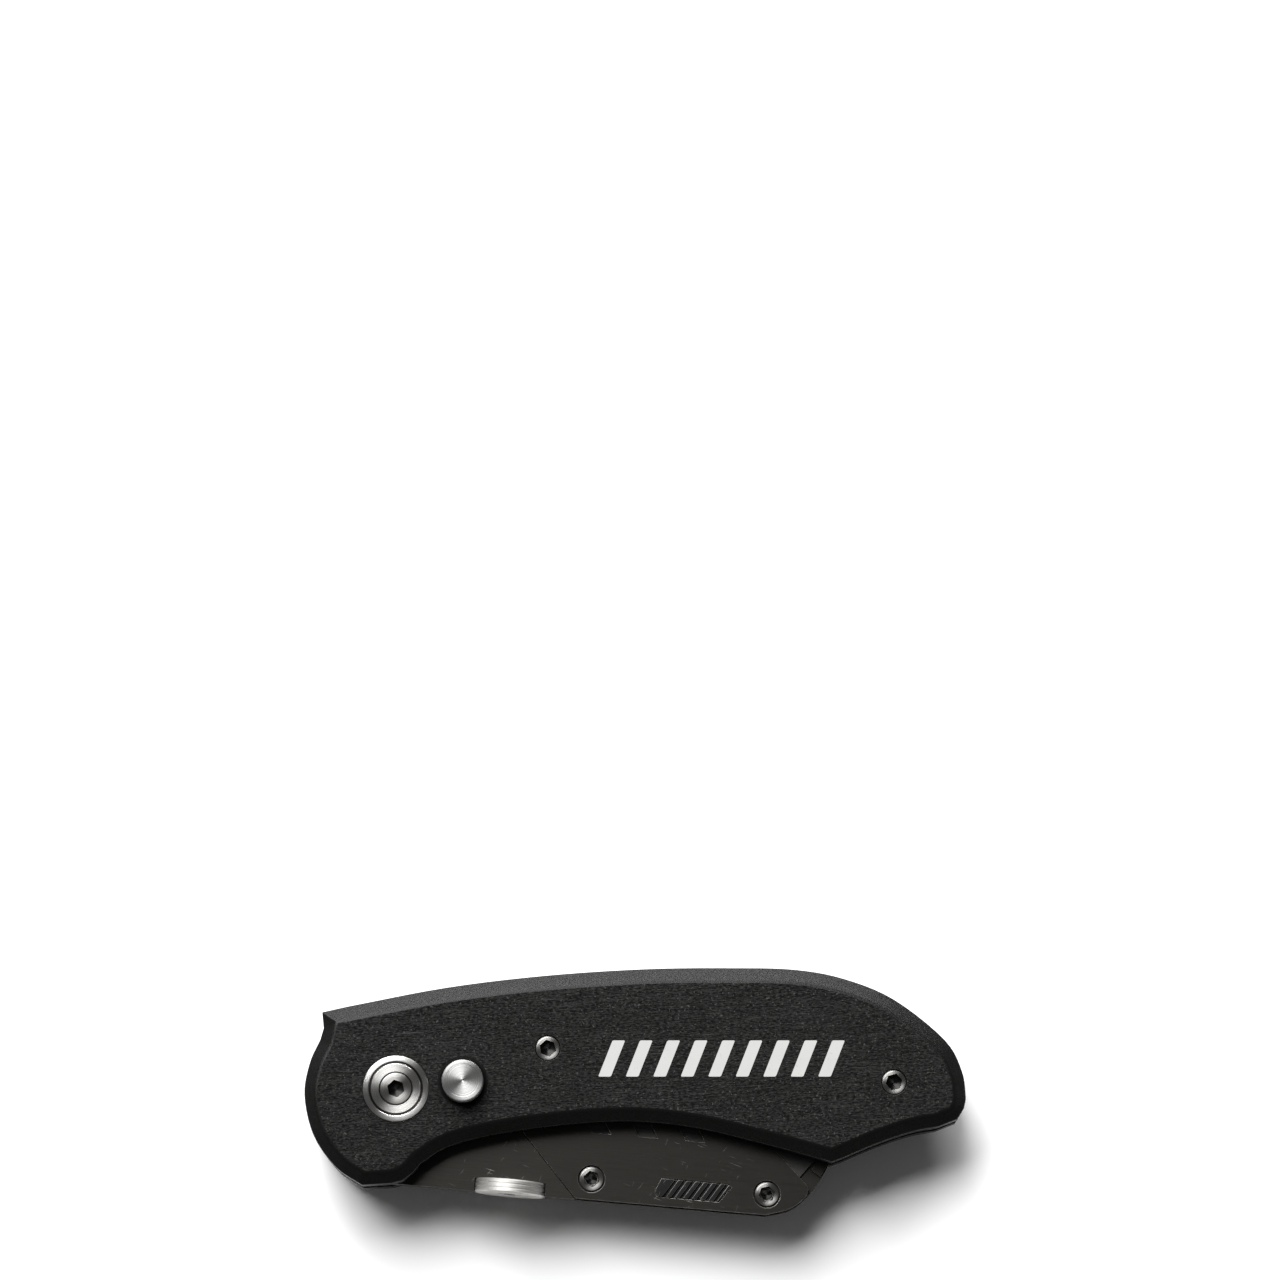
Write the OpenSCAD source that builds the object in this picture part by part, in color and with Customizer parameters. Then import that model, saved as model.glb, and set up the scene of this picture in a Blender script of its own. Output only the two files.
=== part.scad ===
// Folding utility knife with a button lock and a sprung quick-change blade latch.
// Shown folded and lying on its side. X runs along the handle from pivot to butt, Y up
// towards the spine, Z through the thickness with the front scale on top.
// Sizes are given from the pivot's centre. The origin is under the middle of the knife.

/* [Handle] */
// Distance from the pivot to the butt end
butt_x = 103.7; // [100:0.1:130]
// Height of the spine above the pivot
spine_y = 22.2; // [20:0.1:30]
// Thickness of each handle scale
scale_t = 5.4; // [5:0.1:8]
// Width of the chamfer round each scale
chamfer_w = 2.1; // [0.5:0.1:2.5]
// Extra width of the chamfer along the spine
spine_chamfer_extra = 0.5; // [0:0.1:1]
// Depth of the chamfer round each scale
chamfer_d = 1.5; // [0.5:0.1:2.5]

/* [Pivot] */
// Radius of the pivot barrel
pivot_r = 2.5; // [2:0.1:3]
// Radius of the turned caps at both ends of the pivot
cap_r = 6.05; // [5:0.05:8]
// How deep the caps sit in the scales
cap_seat = 2.4; // [1.5:0.1:3]
// How far the caps stand out of the scales
cap_proud = 0.35; // [0:0.05:0.8]
// Radius of the pivot screw's head
pivot_head_r = 2.9; // [2.4:0.1:3.2]
// Thickness of each pivot washer
washer_t = 0.2; // [0.1:0.05:0.5]
// Radius of each pivot washer
washer_r = 6; // [5:0.1:8]

/* [Lock] */
// Distance from the pivot to the lock button, along the handle
lock_x = 12.2; // [11.8:0.1:14]
// Height of the lock button above the pivot
lock_y = 1.25; // [0:0.05:3]
// Radius of the lock button
button_r = 3.76; // [3.5:0.02:4.6]
// How far the lock button stands out of the front scale
button_proud = 3.4; // [2.2:0.1:4]
// How far the lock button can be pressed
button_travel = 1.8; // [1:0.1:1.9]
// Radius of the plunger's collar
collar_r = 3.2; // [3:0.1:3.4]
// Radius of the plunger's neck
neck_r = 1.8; // [1.4:0.1:2]
// Radius of the stop pins
stop_r = 1.5; // [1:0.1:1.8]

/* [Carrier] */
// Thickness of the blade carrier
carrier_t = 3.9; // [3.5:0.1:5]
// Radius of the tang about the pivot
tang_r = 10; // [9.4:0.1:10.2]
// Distance from the pivot to the carrier's spine edge
carrier_spine = 16.8; // [16.5:0.1:18]
// Thickness of the front cover plate
cover_t = 1.1; // [1:0.05:1.4]
// Angle between the folded carrier and the handle
fold_lean = 5; // [4:0.5:6]

/* [Blade] */
// Length of the blade's cutting edge
blade_l = 61; // [58:0.5:63]
// Width of the blade
blade_w = 19; // [18:0.1:19.4]
// Thickness of the blade
blade_t = 0.6; // [0.5:0.05:0.75]
// Angle between the blade's cutting edge and its ends
blade_angle = 53.7; // [50:0.1:58]

/* [Thumb disc] */
// Radius of the thumb disc
disc_r = 6.45; // [5:0.05:7.5]
// Thickness of the thumb disc
disc_t = 2.5; // [2:0.1:3]

/* [Fasteners] */
// Shank radius of the handle screws
screw_r = 1.25; // [1:0.05:1.5]
// Head radius of the handle and cover screws
head_r = 2.2; // [2:0.05:2.4]
// Head height of the handle screws
head_h = 1.6; // [1:0.1:2]
// Shank radius of the cover screws
cover_screw_r = 1; // [0.8:0.05:1]

/* [Belt clip] */
// Width of the belt clip
clip_w = 10; // [8:0.5:14]
// Thickness of the belt clip's spring steel
clip_t = 0.9; // [0.7:0.05:1.2]
// Room between the belt clip's long run and the rear scale
clip_gap = 3; // [2:0.1:4]

/* [Fits] */
// Radial clearance of a part that turns or slides in a hole
run_gap = 0.06; // [0.03:0.01:0.1]
// Radial clearance of a screw or pin in its hole
hole_gap = 0.05; // [0.03:0.01:0.15]
// Clearance between flat faces that turn or slide past each other
face_gap = 0.025; // [0.02:0.005:0.08]
// Clearance round a plate that drops into a window or a pocket
drop_gap = 0.12; // [0.08:0.01:0.25]

/* [Hidden] */
fine = 64;
eps = 0.01;

// Heights through the thickness, from the knife's middle plane
gap_t = carrier_t + 2 * washer_t + 4 * face_gap;
inner_z = gap_t / 2;
outer_z = inner_z + scale_t;
carrier_z = carrier_t / 2;
cover_z = carrier_z - cover_t;
pocket_slack = 0.05;
floor_z = cover_z - blade_t - pocket_slack;

// Places on the handle
mid_screw = [27.6, 7.4];
rear_screw = [butt_x - 13.1, 1.2];
lock_at = [lock_x, lock_y];
socket_depth = 1;
head_recess_r = head_r + 0.12;
screw_end_wall = 0.6;

// The handle's outline is drawn at these two sizes and stretched to the ones above
drawn_butt_x = 103.7;
drawn_spine_y = 22.2;
stretch_from_x = 40;

// ---- Curves ----
function add_all(v, i = 0) = i < len(v) ? concat(v[i], add_all(v, i + 1)) : [];
function spline_point(a, b, c, d, t) =
    0.5 * (2 * b + (c - a) * t + (2 * a - 5 * b + 4 * c - d) * t * t
        + (3 * b - a - 3 * c + d) * t * t * t);
function before(p, i) = i > 0 ? p[i - 1] : 2 * p[0] - p[1];
function after(p, i) = i < len(p) - 1 ? p[i + 1] : 2 * p[i] - p[i - 1];
// Smooth curve through the points p, n steps between each two
function curve(p, n) = concat([for (i = [0:len(p) - 2], k = [0:n - 1])
    spline_point(before(p, i), p[i], p[i + 1], after(p, i + 1), k / n)], [p[len(p) - 1]]);
function ring_point(p, i) = p[(i + len(p)) % len(p)];
function edge_normal(p, i) = let (d = ring_point(p, i + 1) - ring_point(p, i))
    [d[1], -d[0]] / norm(d);
function corner_shift(a, b) = (a + b) / (1 + a * b);
// Outline p, which runs clockwise, moved inwards by w and by extra more where it faces +Y
function inset(p, w, extra = 0) = [for (i = [0:len(p) - 1])
    let (s = corner_shift(edge_normal(p, i - 1), edge_normal(p, i)))
    p[i] + s * (w + extra * max(0, -s[1]))];

// ---- Handle outline, clockwise from the hook at the pivot end of the spine ----
hook_tip = [-13.6, 14.1];
spine_run = [[-9.2, 15.1], [9, 18.6], [27.1, 20.8], [45.3, 22], [61, 22.2], [72.6, 21.9],
    [81.7, 20.2], [90.8, 16.4], [99.9, 9.1], [103, 3.5], [103.7, -1.2], [103.4, -3.4]];
butt_corner = [102.2, -5.4];
heel_run = [[98.6, -6.8], [93.8, -7.7], [87.3, -9.9], [81.4, -12.4]];
heel_corner = [79.3, -13.2];
groove_run = [[76.6, -12.5], [67.3, -10], [53.5, -6.8], [40, -5.8], [22.8, -7.4],
    [10.4, -10.1], [4.6, -13.4]];
lobe_corner = [[3.1, -15.2], [1.2, -16.6], [-0.9, -17.1]];
lobe_run = [[-6.1, -17.4], [-10.9, -14.1], [-15, -8.3], [-16.7, -1.1], [-15.8, 4.8],
    [-13.9, 9.1]];
neck = [-13.3, 11.2];
function stretched(p) = [
    p[0] < stretch_from_x ? p[0] : stretch_from_x
        + (p[0] - stretch_from_x) * (butt_x - stretch_from_x) / (drawn_butt_x - stretch_from_x),
    p[1] < 0 ? p[1] : p[1] * spine_y / drawn_spine_y];
outline = [for (p = add_all([[hook_tip], curve(spine_run, 5), [butt_corner],
    curve(heel_run, 4), [heel_corner], curve(groove_run, 5), lobe_corner, curve(lobe_run, 5),
    [neck]])) stretched(p)];

// ---- Folded carrier: u runs along its spine, v away from it towards the cutting edge ----
function folded(p) = [p[0] * cos(fold_lean) + p[1] * sin(fold_lean),
    p[1] * cos(fold_lean) - p[0] * sin(fold_lean)];
spine_v = -carrier_spine;
screw_wall = 0.35;
cover_screw_v = spine_v + 4;
cover_screw_us = [36.8, 68.9];
blade_back_v = cover_screw_v + cover_screw_r + screw_wall + hole_gap;
blade_edge_v = blade_back_v + blade_w;
blade_mid_u = 56.4;
blade_lean = blade_w / tan(blade_angle);
edge_bevel_w = 1.6;
plate_top_v = 3.5;
cover_top_v = 2.5;
arm_top_v = -3.5;
arm_end_u = 26;
disc_u = 22.1;
disc_out = 0.1;
disc_back_v = spine_v - disc_out + disc_t;
seam_low = [34.1, spine_v];
seam_dir = [-11.2, 11.9] / norm([-11.2, 11.9]);
tip_run = [[69, spine_v], [73.3, spine_v + 1.5], [75.9, spine_v + 3.8], [78.2, -9.7],
    [80.1, -5.3]];
nose_top = [79.6, -3.6];
carrier_outline = concat([[-2, spine_v], [30, spine_v]], curve(tip_run, 5),
    [nose_top, [68.5, plate_top_v], [31, plate_top_v], [arm_end_u, arm_top_v],
    [6, arm_top_v], [-6, -3], [-7, -9]]);

// Latch window in the cover, its flange under the cover and its tooth in the blade's notch
latch_top_v = blade_back_v - 0.12;
latch_window = [[49.4, latch_top_v], [61.8, latch_top_v], [62.4, latch_top_v - 0.6],
    [60.3, latch_top_v - 3.5], [49.2, latch_top_v - 3.5], [48.5, latch_top_v - 2.9],
    [48.5, latch_top_v - 2.1]];
latch_flange = 0.6;
latch_proud = 0.3;
latch_z = floor_z + 0.02;
latch_floor_z = -carrier_z + 0.5;
flange_u = [48, 61.4];
flange_v = [latch_top_v - 3.5 - latch_flange, latch_top_v];
notch_u = 6;
notch_w = 3.2;
notch_d = 2.6;
tooth_w = notch_w - 0.3;
tooth_d = notch_d - 0.3;

// ---- Where the knife stands ----
clip_out = clip_gap + clip_t;
low_z = -outer_z - clip_out;
all_x = [for (p = outline) p[0]];
all_y = concat([for (p = outline) p[1]], [for (p = carrier_outline) folded(p)[1]]);
middle = [(min(all_x) + max(all_x)) / 2, (min(all_y) + max(all_y)) / 2];
module placed() translate([-middle[0], -middle[1], -low_z]) children();
module fold_frame() rotate(-fold_lean) children();

// ---- Shared shapes ----
module rod(at, r, z0, z1) translate([at[0], at[1], z0]) cylinder(r = r, h = z1 - z0, $fn = fine);
module cone(at, r0, r1, z0, z1)
    translate([at[0], at[1], z0]) cylinder(r1 = r0, r2 = r1, h = z1 - z0, $fn = fine);
module slab(points, z0, z1) translate([0, 0, z0]) linear_extrude(z1 - z0) polygon(points);
module ring_groove(at, r, w, z0, z1) difference() {
    rod(at, r + w / 2, z0, z1);
    rod(at, r - w / 2, z0 - eps, z1 + eps);
}
// Cutting the corners off a clockwise outline p one at a time leaves its triangles
function turn(a, b, c) = (b[0] - a[0]) * (c[1] - a[1]) - (b[1] - a[1]) * (c[0] - a[0]);
function covers(a, b, c, q) = turn(a, b, q) <= 0 && turn(b, c, q) <= 0 && turn(c, a, q) <= 0;
function is_ear(p, left, i) = let (n = len(left), a = left[(i + n - 1) % n], b = left[i],
    c = left[(i + 1) % n]) turn(p[a], p[b], p[c]) < -0.001
    && len([for (q = left) if (q != a && q != b && q != c && covers(p[a], p[b], p[c], p[q])) q])
        == 0;
function next_ear(p, left, i = 0) = i >= len(left) - 1 || is_ear(p, left, i) ? i
    : next_ear(p, left, i + 1);
function triangles(p, left) = let (n = len(left), i = n > 3 ? next_ear(p, left) : 0)
    n == 3 ? [left] : concat([[left[(i + n - 1) % n], left[i], left[(i + 1) % n]]],
        triangles(p, [for (k = [2:n]) left[(i + (k < n ? k : 1)) % n]]));
// Solid between three copies of a clockwise outline, given as [outline, z] from the bottom
module stacked(layers) {
    n = len(layers[0][0]);
    top = len(layers) - 1;
    first = [for (i = [0:n - 1]) i];
    points = [for (layer = layers, p = layer[0]) [p[0], p[1], layer[1]]];
    sides = [for (j = [0:top - 1], i = [0:n - 1])
        [j * n + i, j * n + (i + 1) % n, (j + 1) * n + (i + 1) % n, (j + 1) * n + i]];
    floor_faces = [for (t = triangles(layers[0][0], first)) [t[2], t[1], t[0]]];
    roof_faces = [for (t = triangles(layers[top][0], first)) t + top * n * [1, 1, 1]];
    polyhedron(points, concat(floor_faces, roof_faces, sides));
}
// Screw standing on z with its shank below and a hexagon socket in its head
module socket_screw(at, shank_r, shank_l, r, h, socket_r, z) difference() {
    union() {
        rod(at, shank_r, z - shank_l, z + eps);
        rod(at, r, z, z + h * 0.8);
        cone(at, r, r - h * 0.2, z + h * 0.8, z + h);
    }
    translate([at[0], at[1], z + h - min(socket_depth, h * 0.7)])
        cylinder(r = socket_r, h = h, $fn = 6);
}
// Round wire wound into a coil that stands on z0
module coil(at, r, wire_r, turns, z0, z1) {
    steps = 14;
    sides = 8;
    rings = floor(turns * steps);
    rise = (z1 - z0 - 2 * wire_r) / rings;
    points = [for (i = [0:rings], k = [0:sides - 1])
        let (a = i * 360 / steps, b = k * 360 / sides, d = r + wire_r * cos(b))
        [at[0] + d * cos(a), at[1] + d * sin(a), z0 + wire_r + rise * i + wire_r * sin(b)]];
    walls = [for (i = [0:rings - 1], k = [0:sides - 1])
        [i * sides + k, i * sides + (k + 1) % sides, (i + 1) * sides + (k + 1) % sides,
            (i + 1) * sides + k]];
    polyhedron(points, concat([[for (k = [sides - 1:-1:0]) k]],
        [[for (k = [0:sides - 1]) rings * sides + k]], walls));
}

// ---- Stops ----
// The open stop meets the tang's foot at half a turn, and the closed stop the arm's top edge
open_stop = [8, 12];
stop_gap = 0.05;
closed_stop = folded([20, arm_top_v + stop_r + stop_gap]);
stop_seat = 1.6;
foot_r = 16.3;
foot_angle = atan2(open_stop[1], open_stop[0]) + 180
    + asin((stop_r + stop_gap) / norm(open_stop));

// ---- Handle ----
module scale_blank() stacked([[outline, inner_z], [outline, outer_z - chamfer_d],
    [inset(outline, chamfer_w, spine_chamfer_extra), outer_z]]);
module stop_holes(z0, z1)
    for (at = [open_stop, closed_stop]) rod(at, stop_r + hole_gap, z0, z1);
head_z = outer_z - head_h - 0.15;
web_z = inner_z + 1.7;
button_rim = 0.5;
module front_scale() color("#1b1b1d") placed() difference() {
    scale_blank();
    rod([0, 0], pivot_r + hole_gap, inner_z - eps, outer_z);
    rod([0, 0], cap_r + hole_gap, outer_z - cap_seat, outer_z + eps);
    rod(lock_at, neck_r + run_gap, inner_z - eps, outer_z);
    rod(lock_at, button_r + run_gap, web_z, outer_z + eps);
    cone(lock_at, button_r + run_gap, button_r + run_gap + button_rim,
        outer_z - button_rim, outer_z + eps);
    for (at = [mid_screw, rear_screw]) {
        rod(at, screw_r + hole_gap, inner_z - eps, outer_z);
        rod(at, head_recess_r, head_z, outer_z + eps);
    }
    stop_holes(inner_z - eps, inner_z + stop_seat + hole_gap);
}
spring_floor_z = -outer_z + 0.7;
module rear_scale() color("#1b1b1d") placed() difference() {
    mirror([0, 0, 1]) scale_blank();
    rod([0, 0], pivot_r + hole_gap, -outer_z, -inner_z + eps);
    rod([0, 0], cap_r + hole_gap, -outer_z - eps, -outer_z + cap_seat);
    rod(lock_at, collar_r + run_gap, spring_floor_z, -inner_z + eps);
    for (at = [mid_screw, rear_screw])
        rod(at, screw_r + hole_gap, -outer_z + screw_end_wall, -inner_z + eps);
    stop_holes(-inner_z - stop_seat - hole_gap, -inner_z + eps);
    for (at = clip_screw_at) rod(at, clip_screw_r + hole_gap, -outer_z - eps,
        -outer_z + clip_screw_l);
}
spacer_from_x = 16;
spacer_to_y = -4.6;
spacer_in = 1;
spacer_w = 3.2;
boss_r = 2.6;
boss_wall = 0.5;
function along_spacer(p, y) = [for (q = p) if (q[0] > spacer_from_x && q[1] > y) q];
function reversed(p) = [for (i = [len(p) - 1:-1:0]) p[i]];
module back_spacer() color("#2a2a2c") placed() {
    z = inner_z - 0.01;
    outside = along_spacer(inset(outline, spacer_in), spacer_to_y);
    inside = along_spacer(inset(outline, spacer_in + spacer_w), rear_screw[1]);
    leg_top = spine_y * 0.82;
    difference() {
        union() {
            slab(concat(outside, reversed(inside)), -z, z);
            slab([mid_screw + [-boss_r, 0], [mid_screw[0] - boss_r, leg_top],
                [mid_screw[0] + boss_r, leg_top], mid_screw + [boss_r, 0]], -z, z);
            rod(mid_screw, boss_r, -z, z);
            slab([rear_screw + [0, -boss_r], rear_screw + [0, boss_r],
                [butt_x - spacer_in - spacer_w + 0.9, rear_screw[1] + boss_r],
                [butt_x - spacer_in - spacer_w + 0.9, rear_screw[1] - boss_r]], -z, z);
            rod(rear_screw, boss_r, -z, z);
        }
        for (at = [mid_screw, rear_screw]) rod(at, screw_r + hole_gap, -z - eps, z + eps);
        translate([mid_screw[0] - 2 * boss_r, mid_screw[1] - screw_r - hole_gap - boss_wall
            - 2 * boss_r, -z - eps]) cube([4 * boss_r, 2 * boss_r, 2 * z + 2 * eps]);
    }
}
module handle_screws() color("#b9b9b8") placed()
    for (at = [mid_screw, rear_screw])
        socket_screw(at, screw_r, head_z + outer_z - screw_end_wall - 0.3, head_r, head_h,
            1.15, head_z);
module stop_pins() color("#9a9a9a") placed()
    for (at = [open_stop, closed_stop])
        rod(at, stop_r, -inner_z - stop_seat, inner_z + stop_seat);

// ---- Pivot ----
barrel_top_z = outer_z - cap_seat - 0.3;
barrel_floor_z = -outer_z + 1.2;
pivot_thread_r = 1.5;
cap_groove_r = 4.75;
cap_edge = 0.3;
cap_web = 0.8;
module pivot_barrel() color("#a8a8a6") placed() difference() {
    union() {
        rod([0, 0], pivot_r, -outer_z + cap_seat - 0.1, barrel_top_z);
        cone([0, 0], cap_r - cap_edge, cap_r, -outer_z - cap_proud,
            -outer_z - cap_proud + cap_edge);
        rod([0, 0], cap_r, -outer_z - cap_proud + cap_edge, -outer_z + cap_seat);
    }
    rod([0, 0], pivot_thread_r + hole_gap, barrel_floor_z, barrel_top_z + eps);
    for (r = [cap_groove_r, pivot_head_r])
        ring_groove([0, 0], r, 0.25, -outer_z - cap_proud - eps, -outer_z - cap_proud + 0.2);
}
cap_top_z = outer_z + cap_proud;
cap_floor_z = outer_z - cap_seat;
module pivot_cap() color("#c4c4c2") placed() difference() {
    union() {
        rod([0, 0], cap_r, cap_floor_z, cap_top_z - cap_edge);
        cone([0, 0], cap_r, cap_r - cap_edge, cap_top_z - cap_edge, cap_top_z);
    }
    rod([0, 0], pivot_thread_r + 0.2, cap_floor_z - eps, cap_top_z);
    rod([0, 0], pivot_head_r + hole_gap, cap_floor_z + cap_web, cap_top_z + eps);
    ring_groove([0, 0], cap_groove_r, 0.35, cap_top_z - 0.25, cap_top_z + eps);
}
module pivot_screw() color("#b0b0ae") placed()
    socket_screw([0, 0], pivot_thread_r, cap_floor_z + cap_web - barrel_floor_z - 0.5,
        pivot_head_r, cap_seat - cap_web + cap_proud - 0.1, 1.45, cap_floor_z + cap_web);
module washer(z0) difference() {
    rod([0, 0], washer_r, z0, z0 + washer_t);
    rod([0, 0], pivot_r + 0.1, z0 - eps, z0 + washer_t + eps);
}
module front_washer() color("#b08d4f") placed() washer(carrier_z + face_gap);
module rear_washer() color("#b08d4f") placed() washer(-carrier_z - face_gap - washer_t);

// ---- Lock ----
button_top_z = outer_z + button_proud;
button_low_z = web_z + button_travel + 0.1;
stud_r = 1.2;
stud_l = 3;
collar_top_z = -carrier_z - 2 * face_gap;
collar_h = 1.9;
module lock_button() color("#c0c0bf") placed() difference() {
    union() {
        rod(lock_at, button_r, button_low_z, button_top_z - 0.5);
        cone(lock_at, button_r, button_r - 0.5, button_top_z - 0.5, button_top_z);
    }
    rod(lock_at, stud_r + hole_gap, button_low_z - eps, button_low_z + stud_l + 0.1);
    cone(lock_at, 0.1, button_r - 0.9, button_top_z - 0.12, button_top_z + eps);
}
module lock_plunger() color("#8f8f8f") placed() union() {
    rod(lock_at, collar_r, collar_top_z - collar_h, collar_top_z);
    rod(lock_at, neck_r, collar_top_z - eps, button_low_z);
    rod(lock_at, stud_r, button_low_z - eps, button_low_z + stud_l);
}
module lock_spring() color("#777777") placed()
    coil(lock_at, collar_r - 0.7, 0.28, 3.5, spring_floor_z + 0.02,
        collar_top_z - collar_h - 0.02);

// ---- Carrier ----
big = 200;
cut_top_z = outer_z;
// Everything on the tip side of the seam, which leans back from the spine
module beyond_seam(z0, z1, gap = 0) {
    far = seam_low + seam_dir * 45;
    slab([seam_low - seam_dir * 5 + [gap, 0], far + [gap, 0], [big, far[1]],
        [big, spine_v - 5]], z0, z1);
}
function blade_shape(g = 0) = [
    [blade_mid_u - blade_l / 2 + blade_lean - g, blade_back_v - g],
    [blade_mid_u + blade_l / 2 - blade_lean + g, blade_back_v - g],
    [blade_mid_u + blade_l / 2 + g, blade_edge_v + g],
    [blade_mid_u - blade_l / 2 - g, blade_edge_v + g]];
module flange_plan(g, z0, z1) {
    slab([[flange_u[0] - g, flange_v[0] - g], [flange_u[1] + g, flange_v[0] - g],
        [flange_u[1] + g + 1.6, flange_v[1] + g], [flange_u[0] - g, flange_v[1] + g]], z0, z1);
    slab([[tooth_u() - tooth_w / 2 - g, flange_v[1] - 1],
        [tooth_u() + tooth_w / 2 + g, flange_v[1] - 1],
        [tooth_u() + tooth_w / 2 + g, blade_back_v + tooth_d + g],
        [tooth_u() - tooth_w / 2 - g, blade_back_v + tooth_d + g]], z0, z1);
}
function tooth_u() = blade_mid_u - notch_u;
module foot() intersection() {
    rod([0, 0], foot_r, -carrier_z, carrier_z);
    slab([[0, 0], 60 * [cos(foot_angle), sin(foot_angle)], [10, -60], [14, -9]],
        -carrier_z, carrier_z);
}
module carrier_blank() union() {
    rod([0, 0], tang_r, -carrier_z, carrier_z);
    foot();
    difference() {
        fold_frame() slab(carrier_outline, -carrier_z, carrier_z);
        left_of_foot();
    }
}
// What lies behind the foot's stop shoulder, outside the tang's round
module left_of_foot() difference() {
    slab([[0, 0], 60 * [cos(foot_angle), sin(foot_angle)], [-60, -60], [-60, 0]],
        -carrier_z - eps, carrier_z + eps);
    rod([0, 0], tang_r, -carrier_z - 2 * eps, carrier_z + 2 * eps);
}
module carrier_body() color("#4a4846") placed() {
    difference() {
        carrier_blank();
        rod([0, 0], pivot_r + run_gap, -carrier_z - eps, carrier_z + eps);
        rod(-lock_at, collar_r + run_gap + 0.05, -carrier_z - eps, carrier_z + eps);
        fold_frame() {
            difference() {
                beyond_seam(floor_z, cut_top_z);
                difference() {
                    slab(cover_outline(), floor_z - eps, cover_z);
                    slab(blade_shape(drop_gap), floor_z - 2 * eps, cut_top_z);
                }
            }
            flange_plan(drop_gap, latch_floor_z, cut_top_z);
            for (u = cover_screw_us)
                rod([u, cover_screw_v], cover_screw_r + hole_gap, -carrier_z + 0.4, cut_top_z);
            translate([disc_u - disc_r - hole_gap, spine_v - 5, -carrier_z - eps])
                cube([2 * (disc_r + hole_gap), disc_back_v - spine_v + 5, carrier_t + 2 * eps]);
            translate([disc_u, disc_back_v - eps, 0]) rotate([-90, 0, 0])
                cylinder(r = screw_r + hole_gap, h = disc_screw_l, $fn = fine);
        }
    }
    fold_frame() slab(lug, floor_z - eps, cover_z + 0.25);
}
lug_gap = 1;
function blade_end(v) = blade_mid_u + blade_l / 2 - (blade_edge_v - v) / tan(blade_angle);
lug = [[blade_end(-7.7) + lug_gap, -7.7], [78.4, -8.7], [79.8, -5.6],
    [blade_end(-5.2) + lug_gap + 0.3, -4.4], [blade_end(-5.2) + lug_gap - 0.5, -5.2]];
cover_tip = [76.4, -11.4];
cover_notch_us = [37.9, 46.5, 55.1];
cover_notch_w = 3.5;
cover_notch_v = -4.4;
cover_notch_lean = 0.62;
cover_root_u = 30.2;
seam_gap = 0.24;
cover_rim = 0.25;
function on_seam(v) = seam_low + seam_dir * (v - spine_v) / seam_dir[1];
function cover_outline() = concat([on_seam(spine_v + cover_rim)],
    curve([for (p = concat([for (i = [0:2]) tip_run[i]], [cover_tip])) p + [0, cover_rim]], 5),
    [cover_tip + [-0.5, 1], [70.1, -5.1], [62.3, cover_top_v],
    [cover_root_u, cover_top_v], [arm_end_u, arm_top_v], on_seam(arm_top_v)]);
module carrier_cover() color("#454341") placed() fold_frame() difference() {
    slab(cover_outline(), cover_z, carrier_z);
    difference() {
        slab([[-big, -big], [-big, big], [big, big], [big, -big]], cover_z - eps, cut_top_z);
        beyond_seam(cover_z - 2 * eps, cut_top_z + eps, seam_gap);
    }
    slab(latch_window, cover_z - eps, cut_top_z);
    for (u = cover_notch_us) {
        rise = cover_top_v - cover_notch_v + 1;
        slab([[u - cover_notch_w / 2, cover_notch_v], [u + cover_notch_w / 2, cover_notch_v],
            [u + cover_notch_w / 2 - rise * cover_notch_lean, cover_notch_v + rise],
            [u - cover_notch_w / 2 - rise * cover_notch_lean, cover_notch_v + rise]],
            cover_z - eps, cut_top_z);
    }
    for (u = cover_screw_us) {
        rod([u, cover_screw_v], cover_screw_r + 0.1, cover_z - eps, cut_top_z);
        rod([u, cover_screw_v], cover_recess_r, cover_z + cover_web, cut_top_z);
    }
}
cover_recess_r = head_r + 0.3;
cover_web = 0.3;
module cover_screws() color("#b9b9b8") placed() fold_frame()
    for (u = cover_screw_us)
        socket_screw([u, cover_screw_v], cover_screw_r, cover_z + cover_web + carrier_z - 0.6,
            head_r, cover_t - cover_web - 0.05, 1.15, cover_z + cover_web);
module utility_blade() color("#b4b5b4") placed() fold_frame() difference() {
    intersection() {
        slab(blade_shape(), floor_z, floor_z + blade_t);
        union() {
            slab([[-big, -big], [-big, blade_edge_v - edge_bevel_w],
                [big, blade_edge_v - edge_bevel_w], [big, -big]], floor_z, floor_z + blade_t);
            translate([-big / 2, blade_edge_v - edge_bevel_w - eps, floor_z]) rotate([90, 0, 90])
                linear_extrude(2 * big)
                    polygon([[0, 0], [edge_bevel_w, blade_t / 2], [0, blade_t]]);
        }
    }
    for (side = [-1, 1]) {
        u = blade_mid_u + side * notch_u;
        translate([u - notch_w / 2, blade_back_v - 1, -carrier_z])
            cube([notch_w, 1 + notch_d - notch_w / 4, carrier_t]);
        translate([u - notch_w / 4, blade_back_v - 1, -carrier_z])
            cube([notch_w / 2, 1 + notch_d, carrier_t]);
        for (corner = [-1, 1])
            rod([u + corner * notch_w / 4, blade_back_v + notch_d - notch_w / 4], notch_w / 4,
                -carrier_z, carrier_z);
    }
}
rib_pitch = 1.55;
rib_from_u = 49.6;
rib_lean = 2.8;
rib_groove_w = 0.62;
rib_groove_d = 0.5;
module blade_latch() color("#2f2e2d") placed() fold_frame() {
    top_z = carrier_z + latch_proud;
    difference() {
        union() {
            slab(inset(latch_window, drop_gap), latch_z, top_z);
            flange_plan(0, latch_z, cover_z - face_gap);
        }
        for (i = [0:6]) {
            u = rib_from_u + i * rib_pitch;
            slab([[u, latch_top_v - 4], [u + rib_groove_w, latch_top_v - 4],
                [u + rib_groove_w + rib_lean, latch_top_v + 0.5],
                [u + rib_lean, latch_top_v + 0.5]], top_z - rib_groove_d, top_z + eps);
        }
    }
}
leaf_t = 0.25;
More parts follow.
